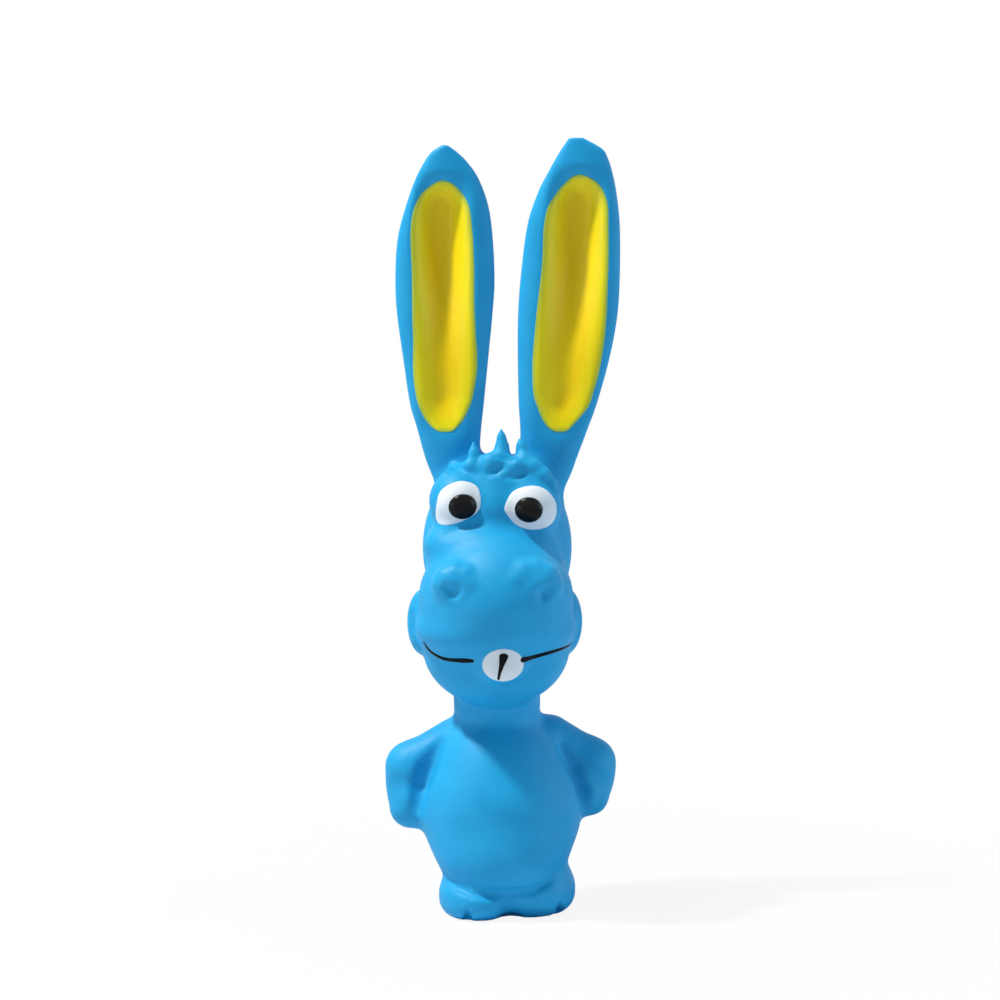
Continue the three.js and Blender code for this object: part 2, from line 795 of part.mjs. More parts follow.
// A forelock spike: rings that shrink along a slightly bent line from its foot to its tip
const spikeRings = 6;
const spikeSides = 9;
const spikeBendShare = 0.16;

function spikeSolid(shares) {
  const place = ([across, back, up]) => new THREE.Vector3(across * headWidth, back * headDepth,
    standHeight + up * spikeLength);
  const foot = place(shares.foot);
  const tip = place(shares.tip);
  const bend = foot.clone().lerp(tip, 1 / 2);
  bend.y += spikeBendShare * spikeLength;
  const line = new THREE.QuadraticBezierCurve3(foot, bend, tip);
  const rings = Array.from({ length: spikeRings }, (_, ring) => {
    const share = ring / (spikeRings - 1);
    const middle = line.getPoint(share);
    const along = line.getTangent(share);
    const across = new THREE.Vector3(1, 0, 0).projectOnPlane(along).normalize();
    const deep = along.clone().cross(across);
    const taper = 1 - share;
    const radius = THREE.MathUtils.lerp(spikeTipThickness, spikeThickness * shares.thick, taper) / 2;
    return Array.from({ length: spikeSides }, (_, side) => {
      const turn = Math.PI * 2 * side / spikeSides;
      return middle.clone()
        .addScaledVector(across, radius * Math.cos(turn))
        .addScaledVector(deep, radius * Math.sin(turn));
    });
  });
  const cap = tip.clone().addScaledVector(line.getTangent(1), spikeTipThickness / 2);
  return solidOf(loftSolid(rings, foot, cap));
}

// An oval solid for cutting a small pit
function pitSolid(box, shares) {
  const oval = ovalIn(box, shares);
  const ball = new THREE.SphereGeometry(1, roundSegments / 2, roundSegments / 3);
  ball.scale(oval.halfX, oval.halfY, oval.halfZ);
  ball.translate(oval.x, oval.y, oval.z);
  return solidOf(ball);
}

// A lock of hair that lies along the brow: rings round a line on the face, thinning to its ends
const lockRings = 7;
const lockSides = 8;

function lockSolid(lock) {
  const line = new THREE.CatmullRomCurve3(lock.line.map(headPlace).map(({ x, z }) => faceAt(x, z).point));
  const rings = Array.from({ length: lockRings }, (_, ring) => {
    const share = ring / (lockRings - 1);
    const middle = line.getPoint(share);
    const along = line.getTangent(share);
    const out = slopeOf(toyForm, middle).projectOnPlane(along).normalize();
    const aside = along.clone().cross(out);
    const swell = THREE.MathUtils.lerp(lockEndShare, 1, Math.sin(Math.PI * share));
    const radius = lock.thick * spikeThickness / 2 * swell;
    return Array.from({ length: lockSides }, (_, side) => {
      const turn = Math.PI * 2 * side / lockSides;
      return middle.clone()
        .addScaledVector(aside, radius * Math.cos(turn))
        .addScaledVector(out, radius * Math.sin(turn));
    });
  });
  return solidOf(loftSolid(rings, line.getPoint(0), line.getPoint(1)));
}

function latexSkin() {
  let outer = solidOf(outerSurface());
  for (const lock of lockShares) outer = outer.add(lockSolid(lock));
  for (const shares of spikeShares) outer = outer.add(spikeSolid(shares));
  for (const shares of Object.values(nostrilPitShares)) outer = outer.subtract(pitSolid(headBox, shares));
  for (const shares of toeNotchShares) outer = outer.subtract(pitSolid(torsoBox, shares));
  let cavity = cavitySolid().subtract(boxBelow(cavityFloor));
  for (const ear of Object.values(ears)) {
    cavity = cavity.subtract(rootBall(ear, seatGap + latexWall));
    outer = outer.add(earCup(ear)).subtract(rootBall(ear, seatGap));
    for (let step = 0; step <= swingSteps; step += 1) outer = outer.subtract(bentEar(ear, step));
  }
  return geometryOf(outer.subtract(boxBelow(0)).subtract(cavity).subtract(baseCutter()));
}

// The ear at a share of its length: middle, half width and half thickness, and how round its edges are
const earThicknessShares = [
  [0, 0.865],
  [0.15, 0.95],
  [0.4, 1],
  [0.7, 0.9],
  [0.88, 0.66],
  [0.96, 0.42],
  [1, 0.2],
];
const edgeRoundShare = 0.24;
const edgeRoundStart = 0.12;

function earAt(ear, share) {
  const inner = tableCurve(ear.edges, 1, share) * earWidth - ear.rootMiddle;
  const outer = tableCurve(ear.edges, 2, share) * earWidth - ear.rootMiddle;
  const thickness = tableCurve(earThicknessShares, 1, share) * earThickness;
  const rise = Math.min(share / edgeRoundStart, 1);
  return {
    middle: ear.hinge.x + ear.sign * (inner + outer) / 2,
    half: (outer - inner) / 2,
    halfThickness: THREE.MathUtils.lerp(earRootThickness, thickness, rise) / 2,
    round: 1 - edgeRoundShare * rise,
    back: ear.hinge.y + earLeanBack * share * share,
    height: ear.hinge.z + share * ear.reachShare * earReach,
  };
}

// How deep the scoop is at a place on the ear: deepest along its middle, none at its edges and ends
function scoopAt(ear, share, x) {
  const table = ear.lining;
  const [start, end] = [table[0][0], table[table.length - 1][0]];
  const lengthwise = Math.min((share - start) / scoopEndShare + 1, (end - share) / scoopEndShare + 1) / 2;
  if (lengthwise <= 0) return 0;
  const held = THREE.MathUtils.clamp(share, start, end);
  const inner = tableCurve(table, 1, held) * earWidth - ear.rootMiddle;
  const outer = tableCurve(table, 2, held) * earWidth - ear.rootMiddle;
  const middle = ear.hinge.x + ear.sign * (inner + outer) / 2;
  const half = (outer - inner) / 2 + scoopMarginShare * earWidth / 2;
  const off = Math.abs(x - middle) / half;
  const fade = THREE.MathUtils.smoothstep(Math.min(lengthwise, 1), 0, 1);
  return off < 1 ? earScoopDepth * fade * (1 - off ** scoopFloorPower) ** scoopSidePower : 0;
}

// A place on the ear's skin: turn 0 is its outer edge, a quarter turn its back, three quarters its front
function earPoint(ear, share, turn, growth = 0) {
  const at = earAt(ear, share);
  const x = at.middle + (at.half + growth) * Math.cos(turn);
  const bulge = (at.halfThickness + growth) * Math.abs(Math.sin(turn)) ** at.round;
  const y = Math.sin(turn) >= 0 ? at.back + bulge : at.back - bulge + scoopAt(ear, share, x);
  return new THREE.Vector3(x, y, at.height);
}

const earRingShares = [
  0, 0.03, 0.06, 0.09, 0.12, 0.155, 0.195, 0.25, 0.32, 0.4, 0.48, 0.56, 0.64, 0.71, 0.77, 0.82, 0.86, 0.9,
  0.935, 0.965, 0.985, 1,
];
const earSegments = 20;
const rootRings = 5;

function earSolid(ear, growth) {
  const turns = Array.from({ length: earSegments }, (_, index) => Math.PI * 2 * index / earSegments);
  const rings = [];
  for (let ring = 1; ring < rootRings; ring += 1) {
    const tilt = Math.PI / 2 * (1 - ring / rootRings);
    rings.push(turns.map((turn) => new THREE.Vector3(
      ear.hinge.x + (ear.rootHalf + growth) * Math.cos(tilt) * Math.cos(turn),
      ear.hinge.y + (earRootRadius + growth) * Math.cos(tilt) * Math.sin(turn),
      ear.hinge.z - earRootRadius * Math.sin(tilt))));
  }
  for (const share of earRingShares) rings.push(turns.map((turn) => earPoint(ear, share, turn, growth)));
  const bottom = ear.hinge.clone();
  bottom.z -= earRootRadius;
  const tipRing = rings[rings.length - 1];
  const top = new THREE.Vector3();
  for (const point of tipRing) top.addScaledVector(point, 1 / tipRing.length);
  return loftSolid(rings, bottom, top);
}

// The front of the ear at a place across and up, and the direction out of it
function earFront(ear, share, x) {
  const at = earAt(ear, share);
  const turnShare = THREE.MathUtils.clamp((x - at.middle) / at.half, -1, 1);
  return earPoint(ear, share, -Math.acos(turnShare));
}

const liningRows = 17;
const liningColumns = 7;

function earLining(ear) {
  const table = ear.lining;
  const [start, end] = [table[0][0], table[table.length - 1][0]];
  const layers = [[], []];
  const offsets = [liningGap, liningGap + paintThickness];
  for (let row = 0; row < liningRows; row += 1) {
    const share = start + (end - start) * (1 - Math.cos(Math.PI * row / (liningRows - 1))) / 2;
    const inner = ear.hinge.x + ear.sign * (tableCurve(table, 1, share) * earWidth - ear.rootMiddle);
    const outer = ear.hinge.x + ear.sign * (tableCurve(table, 2, share) * earWidth - ear.rootMiddle);
    const line = Array.from({ length: liningColumns }, (_, column) => {
      const x = THREE.MathUtils.lerp(inner, outer, column / (liningColumns - 1));
      const here = earFront(ear, share, x);
      const aside = earFront(ear, share, x + probeStep).sub(here);
      const along = earFront(ear, share + probeStep / earReach, x).sub(here);
      const out = aside.cross(along).normalize();
      if (out.y > 0) out.negate();
      return offsets.map((offset) => here.clone().addScaledVector(out, offset));
    });
    layers.forEach((layer, index) => layer.push(line.map((pair) => pair[index])));
  }
  return sheetSolid(...layers);
}

// The place on the face straight behind a point of the front view, and the direction out of it
function faceAt(x, z) {
  const origin = new THREE.Vector3(x, 0, z);
  const point = outermost(toyForm, origin, new THREE.Vector3(0, -1, 0), headDepth, 0);
  return { point, out: slopeOf(toyForm, point).normalize() };
}

// A smooth closed outline through points given as shares of a size
function outlineOf(middle, pointShares, size, steps) {
  const points = pointShares.map(
    ([across, up]) => new THREE.Vector3(middle.x + across * size, 0, middle.z + up * size));
  const curve = new THREE.CatmullRomCurve3(points, true);
  return curve.getPoints(steps).slice(0, steps);
}

function ovalOutline(middle, halfWidth, halfHeight, steps) {
  return Array.from({ length: steps }, (_, index) => {
    const turn = Math.PI * 2 * index / steps;
    const reach = new THREE.Vector3(halfWidth * Math.cos(turn), 0, halfHeight * Math.sin(turn));
    return reach.add(middle);
  });
}

// A coat of paint inside an outline. Its underside clears what it is painted on, and its face swells.
function coat(middle, outline, underside, swell, rings) {
  const layer = (offsetAt) => {
    const at = (share, edge) => {
      const x = THREE.MathUtils.lerp(middle.x, edge.x, share);
      const z = THREE.MathUtils.lerp(middle.z, edge.z, share);
      const face = faceAt(x, z);
      return face.point.addScaledVector(face.out, offsetAt(share));
    };
    const circle = (ring) => outline.map((edge) => at((ring + 1) / rings, edge));
    const circles = Array.from({ length: rings }, (_, ring) => circle(ring));
    return { centre: at(0, outline[0]), circles };
  };
  const under = layer(() => underside);
  const over = layer((share) => underside + swell(share));
  return loftSolid([...under.circles, ...over.circles.reverse()], under.centre, over.centre);
}

const flatSwell = (share) => paintThickness * (share < 1 ? 1 : 1 / 2);
const domeSwell = (dome) => (share) => paintThickness / 2 + dome * Math.sqrt(Math.max(1 - share * share, 0));

const coatSegments = 20;
const whiteRings = 3;
const domeRings = 4;

function headPlace([across, up]) {
  return new THREE.Vector3(across * headWidth, 0, torsoHeight + up * headHeight);
}

function eyeWhite(side) {
  const middle = headPlace(eyeWhiteShares[side].middle);
  const outline = outlineOf(middle, eyeWhiteShares[side].outline, eyeWidth, coatSegments);
  return coat(middle, outline, eyeGap, flatSwell, whiteRings);
}

function pupil(side) {
  const shares = pupilShares[side];
  const middle = headPlace(shares.middle);
  const half = pupilWidth / 2;
  const outline = ovalOutline(middle, shares.width * half, shares.height * half, coatSegments);
  return coat(middle, outline, eyeGap + paintThickness + seatGap, domeSwell(pupilDome), whiteRings);
}

function toothCoat() {
  const middle = headPlace(toothMiddleShares);
  return coat(middle, ovalOutline(middle, toothWidth / 2, toothHeight / 2, coatSegments), seatGap,
    domeSwell(toothDome), domeRings);
}

// A brush stroke along a line of the front view, three points across
const strokeColumns = 3;
const strokeRows = 12;

function stroke(line, halfWidthAt, undersideAt) {
  const layers = [[], []];
  for (let row = 0; row < strokeRows; row += 1) {
    const share = row / (strokeRows - 1);
    const middle = line.getPoint(share);
    const along = line.getTangent(share);
    const side = new THREE.Vector3(along.z, 0, -along.x);
    const cells = Array.from({ length: strokeColumns }, (_, column) => {
      const across = 2 * column / (strokeColumns - 1) - 1;
      const place = middle.clone().addScaledVector(side, across * halfWidthAt(share));
      const face = faceAt(place.x, place.z);
      const underside = undersideAt(place);
      return [underside, underside + paintThickness].map(
        (offset) => face.point.clone().addScaledVector(face.out, offset));
    });
    layers.forEach((layer, index) => layer.push(cells.map((pair) => pair[index])));
  }
  return sheetSolid(...layers);
}

const smileThinShare = 0.3;

function mouthLine(side) {
  const line = new THREE.CatmullRomCurve3(smileShares[side].map(headPlace));
  const halfWidth = (share) => mouthLineWidth / 2 * THREE.MathUtils.lerp(1, smileThinShare, share);
  return stroke(line, halfWidth, () => seatGap);
}

// The tooth's line is a drop: a round head that thins to its foot, clear of the tooth's swelling face
const dropHeadShare = 0.2;
const dropThinShare = 0.3;

function dropWidth(share) {
  const headPart = Math.min(share / dropHeadShare, 1);
  const tailPart = Math.max((share - dropHeadShare) / (1 - dropHeadShare), 0);
  const head = THREE.MathUtils.lerp(dropThinShare, 1, Math.sin(Math.PI / 2 * headPart));
  return toothLineWidth / 2 * head * THREE.MathUtils.lerp(1, dropThinShare, tailPart);
}

function toothLine() {
  const middle = headPlace(toothMiddleShares);
  const line = new THREE.LineCurve3(headPlace(toothLineShares.top), headPlace(toothLineShares.foot));
  const swell = domeSwell(toothDome);
  const underside = (place) => {
    const across = (place.x - middle.x) * 2 / toothWidth;
    const up = (place.z - middle.z) * 2 / toothHeight;
    const share = Math.hypot(across, up);
    return seatGap + swell(share) + seatGap;
  };
  return stroke(line, dropWidth, underside);
}

// The barrel: two flanges grip the latex between them, and the floor holds the reed's tube
function squeakerBarrel() {
  const inner = barrelRadius - barrelWall;
  const socket = holderRadius + seatGap;
  const lipBottom = cavityFloor + seatGap;
  const lipTop = lipBottom + flangeThickness;
  const rim = barrelTop;
  return turned([
    [socket, barrelBottom], [flangeRadius, barrelBottom], [flangeRadius, barrelBottom + flangeThickness],
    [barrelRadius, barrelBottom + flangeThickness], [barrelRadius, lipBottom], [lipRadius, lipBottom],
    [barrelRadius, lipTop], [barrelRadius, rim], [inner, rim],
    [inner, barrelBottom + barrelFloor], [socket, barrelBottom + barrelFloor],
  ]);
}

// The cap: a disc with a ring of sound holes, and a skirt that plugs into the barrel
function squeakerCap() {
  const skirt = barrelRadius - barrelWall - seatGap;
  const skirtInner = skirt - barrelWall;
  const disc = solidOf(turned([
    [0, barrelTop], [barrelRadius, barrelTop], [barrelRadius, barrelTop + capThickness],
    [0, barrelTop + capThickness],
  ]));
  const ring = solidOf(turned([
    [skirtInner, barrelTop - capSkirt], [skirt, barrelTop - capSkirt],
    [skirt, barrelTop + capThickness / 2], [skirtInner, barrelTop + capThickness / 2],
  ]));
  let cap = disc.add(ring);
  const circle = (skirtInner - capHoleRadius) * capCircleShare;
  for (let hole = 0; hole < capHoles; hole += 1) {
    const turn = Math.PI * 2 * hole / capHoles;
    const drill = new THREE.CylinderGeometry(capHoleRadius, capHoleRadius, capSkirt * 2, roundSegments / 3);
    drill.rotateX(Math.PI / 2);
    const across = squeakerAcross + circle * Math.cos(turn);
    const back = squeakerBack + circle * Math.sin(turn);
    drill.translate(across, back, barrelTop);
    cap = cap.subtract(solidOf(drill));
  }
  return geometryOf(cap);
}

// The reed's tube: its lower end plugs the barrel's floor, its collar rests on it, and its upper part is
// cut away to a trough
const holderBottom = barrelBottom;
const collarBottom = barrelBottom + barrelFloor;
const troughBottom = collarBottom + holderCollar + (1 - troughShare) * holderLength;

function reedHolder() {
  const top = holderBottom + holderLength;
  const tube = solidOf(turned([
    [holderBore, holderBottom], [holderRadius, holderBottom], [holderRadius, collarBottom],
    [holderCollarRadius, collarBottom], [holderCollarRadius, collarBottom + holderCollar],
    [holderRadius, collarBottom + holderCollar], [holderRadius, top], [holderBore, top],
  ]));
  const cut = new THREE.BoxGeometry(holderCollarRadius * 2, holderRadius * 2, holderLength);
  cut.translate(squeakerAcross, squeakerBack - holderRadius, troughBottom + holderLength / 2);
  return geometryOf(tube.subtract(solidOf(cut)));
}

// The reed lies over the open trough and is held by the clip at its lower end
function blockAt(width, depth, height, back, bottom) {
  const block = new THREE.BoxGeometry(width, depth, height);
  block.translate(squeakerAcross, squeakerBack + back - depth / 2, bottom + height / 2);
  return block;
}

function reedStrip() {
  return blockAt(reedWidth, reedThickness, reedLength, -seatGap, troughBottom + seatGap);
}

function reedClip() {
  return blockAt(reedWidth, clipThickness, clipLength, -seatGap * 2 - reedThickness, troughBottom + seatGap);
}

// The toy: every piece as a named mesh, moved so that the middle of its box is the origin on the floor
const toy = new THREE.Group();

function place(name, geometry, material) {
  const mesh = new THREE.Mesh(geometry, material);
  mesh.name = name;
  toy.add(mesh);
}

place('latex_skin', latexSkin(), latexBlue);
for (const side of ['left', 'right']) {
  place(`${side}_ear`, earSolid(ears[side], 0), latexBlue);
  place(`${side}_ear_lining`, earLining(ears[side]), liningYellow);
  place(`${side}_eye_white`, eyeWhite(side), paintWhite);
  place(`${side}_pupil`, pupil(side), paintBlack);
  place(`${side}_mouth_line`, mouthLine(side), paintBlack);
}
place('tooth', toothCoat(), paintWhite);
place('tooth_line', toothLine(), paintBlack);
place('squeaker_barrel', squeakerBarrel(), squeakerWhite);
place('squeaker_cap', squeakerCap(), squeakerWhite);
place('reed_holder', reedHolder(), squeakerWhite);
place('reed', reedStrip(), reedFilm);
place('reed_clip', reedClip(), squeakerWhite);

const middle = new THREE.Box3().setFromObject(toy).getCenter(new THREE.Vector3());
toy.position.set(-middle.x, -middle.y, 0);

export default toy;
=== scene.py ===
"""Looks of the squeaky dog toy: a hand-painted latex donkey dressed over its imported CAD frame.

Shapes are set out in millimetres in the toy's own frame: soles on Z = 0, the face towards -Y, the toy's own
left towards +X. One shift, read from the squeaker barrel, carries them into the frame's metres.
"""
import logging
import math
from dataclasses import dataclass, field
from enum import Enum
from typing import Callable, Iterable, Sequence

import bpy
import numpy as np
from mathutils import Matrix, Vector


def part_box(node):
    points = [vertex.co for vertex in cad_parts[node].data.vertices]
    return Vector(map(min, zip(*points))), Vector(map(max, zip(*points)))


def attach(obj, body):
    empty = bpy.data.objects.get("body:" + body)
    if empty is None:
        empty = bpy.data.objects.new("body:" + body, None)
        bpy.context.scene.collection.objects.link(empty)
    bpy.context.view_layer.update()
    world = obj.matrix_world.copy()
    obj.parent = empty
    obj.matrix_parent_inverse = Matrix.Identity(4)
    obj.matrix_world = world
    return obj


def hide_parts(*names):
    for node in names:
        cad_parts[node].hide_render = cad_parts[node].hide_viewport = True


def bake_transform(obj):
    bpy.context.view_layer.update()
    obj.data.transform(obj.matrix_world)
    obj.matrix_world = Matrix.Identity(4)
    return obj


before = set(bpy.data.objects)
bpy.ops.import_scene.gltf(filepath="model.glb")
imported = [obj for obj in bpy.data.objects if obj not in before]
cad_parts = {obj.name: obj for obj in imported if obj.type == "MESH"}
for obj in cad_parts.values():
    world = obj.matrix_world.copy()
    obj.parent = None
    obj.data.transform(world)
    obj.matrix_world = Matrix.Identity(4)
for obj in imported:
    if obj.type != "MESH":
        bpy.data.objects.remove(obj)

logging.basicConfig(level=logging.INFO, format="%(message)s")
LOG = logging.getLogger("dog_toy")

MM = 0.001
TINY = 1e-9
FAR = 1e3  # distance of a sample that no mass has reached, in millimetres
MARGIN_STEPS = 4  # grid steps round a mass over which it is joined
SLOPE_STEPS = 0.75  # grid steps each way over which the form's slope is read
HALVINGS = 8  # how often the place where a line meets the skin is halved in on
SQUEAKER = (2.0, -1.0)  # middle of the squeaker, across and back, in millimetres
UNDERSIDE = 0.12  # points of the skin lower than this, in millimetres, are kept from sinking below the floor
# The standard curve of a screen's colours.
SCREEN_KNEE, SCREEN_SLOPE, SCREEN_LIFT, SCREEN_POWER = 0.04045, 12.92, 0.055, 2.4

Vec3 = tuple[float, float, float]
Array = np.ndarray
Piece = bpy.types.Object
Paint = bpy.types.Material
Socket = bpy.types.NodeSocket
Bounds = tuple[Array, Array]


class Side(Enum):
    """The toy's own sides, with the sign of X on each."""

    LEFT = 1
    RIGHT = -1

    @property
    def word(self) -> str:
        """The side's name, as the nodes spell it."""
        return self.name.lower()


class Join(Enum):
    """How a rounded mass meets the form made so far."""

    FLOW = "flows into it"
    PRESS = "is pressed into it"


# Field of the toy's form


def flow(first: Array, second: Array, softness: float) -> Array:
    """The lower of two distances, rounded over where they are about equal, so that masses flow together.

    In words: the minimum, less a quarter of the softness times the square of how near the two are.

    Args:
        first: distances to one form.
        second: distances to the other.
        softness: over how many millimetres they are rounded into one another.

    Returns:
        The distances to the two as one form.
    """
    near = np.maximum(softness - np.abs(first - second), 0) / softness
    return np.minimum(first, second) - near * near * (softness / 4)


def press(form: Array, mass: Array, softness: float) -> Array:
    """The form with a mass taken out of it, with softly rounded brims."""
    return -flow(-form, mass, softness)


class Mass:
    """A rounded mass with a distance, below zero inside, and the box that holds it."""

    def distance(self, x: Array, y: Array, z: Array) -> Array:
        """Signed distance at the places x, y, z, in millimetres."""
        raise NotImplementedError

    def bounds(self) -> Bounds:
        """Lowest and highest corner of the mass."""
        raise NotImplementedError


@dataclass(frozen=True)
class Oval(Mass):
    """An ellipsoid.

    In words: the point is scaled to a unit ball, and its distance from the ball is scaled back by the slope.
    """

    centre: Vec3
    half: Vec3

    def distance(self, x: Array, y: Array, z: Array) -> Array:
        """Signed distance to the ellipsoid.

        Args:
            x: places across, in millimetres.
            y: places back.
            z: places up.

        Returns:
            The distances, one for each place that the three make together.
        """
        parts = [(place - middle) / size for place, middle, size in zip((x, y, z), self.centre, self.half)]
        reach = np.sqrt(sum(part * part for part in parts))
        slope = np.sqrt(sum((part / size) ** 2 for part, size in zip(parts, self.half)))
        return np.where(slope > 0, reach * (reach - 1) / np.maximum(slope, TINY), -min(self.half))

    def bounds(self) -> Bounds:
        """Box of the ellipsoid."""
        return np.subtract(self.centre, self.half), np.add(self.centre, self.half)


@dataclass(frozen=True)
class Limb(Mass):
    """A straight stretch whose radius tapers from one end to the other."""

    start: Vec3
    end: Vec3
    start_radius: float
    end_radius: float

    def distance(self, x: Array, y: Array, z: Array) -> Array:
        """Distance to the nearest place of the limb's line, less the radius there.

        Args:
            x: places across, in millimetres.
            y: places back.
            z: places up.

        Returns:
            The distances, one for each place that the three make together.
        """
        along = np.subtract(self.end, self.start)
        share = sum((place - start) * step for place, start, step in zip((x, y, z), self.start, along))
        share = np.clip(share / max(float(along @ along), TINY), 0, 1)
        gap = [place - start - share * step for place, start, step in zip((x, y, z), self.start, along)]
        return np.sqrt(sum(part * part for part in gap)) - (
            self.start_radius + share * (self.end_radius - self.start_radius))

    def bounds(self) -> Bounds:
        """Box of the limb."""
        radius = max(self.start_radius, self.end_radius)
        return np.minimum(self.start, self.end) - radius, np.maximum(self.start, self.end) + radius


@dataclass(frozen=True)
class Block(Mass):
    """A low oval block whose top and bottom edges are rounded."""

    centre: Vec3
    half: Vec3
    rounding: float

    def distance(self, x: Array, y: Array, z: Array) -> Array:
        """Distance to an upright round prism with its edges rounded, Y scaled to make it an oval.

        Args:
            x: places across, in millimetres.
            y: places back.
            z: places up.

        Returns:
            The distances, one for each place that the three make together.
        """
        across, back, up = self.centre
        out = np.hypot(x - across, (y - back) * (self.half[0] / self.half[1])) - self.half[0] + self.rounding
        rise = np.abs(z - up) - self.half[2] + self.rounding
        outside = np.hypot(np.maximum(out, 0), np.maximum(rise, 0))
        return outside + np.minimum(np.maximum(out, rise), 0) - self.rounding

    def bounds(self) -> Bounds:
        """Box of the block."""
        return np.subtract(self.centre, self.half), np.add(self.centre, self.half)


@dataclass(frozen=True)
class Chain(Mass):
    """Several masses that flow into each other before they meet the form."""

    links: tuple[Mass, ...]
    softness: float

    def distance(self, x: Array, y: Array, z: Array) -> Array:
        """The links' distances, flowed together in order.

        Args:
            x: places across, in millimetres.
            y: places back.
            z: places up.

        Returns:
            The distances, one for each place that the three make together.
        """
        form = self.links[0].distance(x, y, z)
        for link in self.links[1:]:
            form = flow(form, link.distance(x, y, z), self.softness)
        return form

    def bounds(self) -> Bounds:
        """Box of all the links."""
        boxes = [link.bounds() for link in self.links]
        return np.min([low for low, _ in boxes], axis=0), np.max([high for _, high in boxes], axis=0)


Joined = tuple[Mass, float, Join]


def limbs(stops: Sequence[Sequence[float]], softness: float) -> Chain:
    """A chain of tapering limbs through stops.

    Args:
        stops: for each X, Y, Z and a radius, in millimetres.
        softness: over how many millimetres the limbs flow into one another.

    Returns:
        The chain.
    """
    return Chain(tuple(Limb(tuple(start[:3]), tuple(end[:3]), float(start[3]), float(end[3]))
                       for start, end in zip(stops, stops[1:])), softness)


@dataclass(frozen=True)
class Grid:
    """A regular grid of sample places, in millimetres."""

    low: Vec3
    high: Vec3
    step: float

    @property
    def shape(self) -> tuple[int, int, int]:
        """How many samples there are along X, Y and Z."""
        return tuple(int(math.ceil((high - low) / self.step)) + 1 for low, high in zip(self.low, self.high))

    def window(self, low: Sequence[float], high: Sequence[float]) -> tuple[slice, slice, slice]:
        """The samples that a box covers.

        Args:
            low: the box's lowest corner.
            high: its highest corner.

        Returns:
            The samples' numbers along X, Y and Z.
        """
        spans = []
        for base, count, first, last in zip(self.low, self.shape, low, high):
            start = int(math.floor((first - base) / self.step))
            stop = int(math.ceil((last - base) / self.step)) + 1
            spans.append(slice(min(max(start, 0), count), max(min(stop, count), 0)))
        return tuple(spans)

    def places(self, window: tuple[slice, slice, slice]) -> list[Array]:
        """The places of a window's samples.

        Args:
            window: the samples' numbers along X, Y and Z.

        Returns:
            X, Y and Z, shaped so that they broadcast to the window.
        """
        shapes = ((-1, 1, 1), (1, -1, 1), (1, 1, -1))
        return [
            (base + self.step * np.arange(span.start, span.stop)).astype(np.float32).reshape(shape)
            for base, span, shape in zip(self.low, window, shapes)
        ]


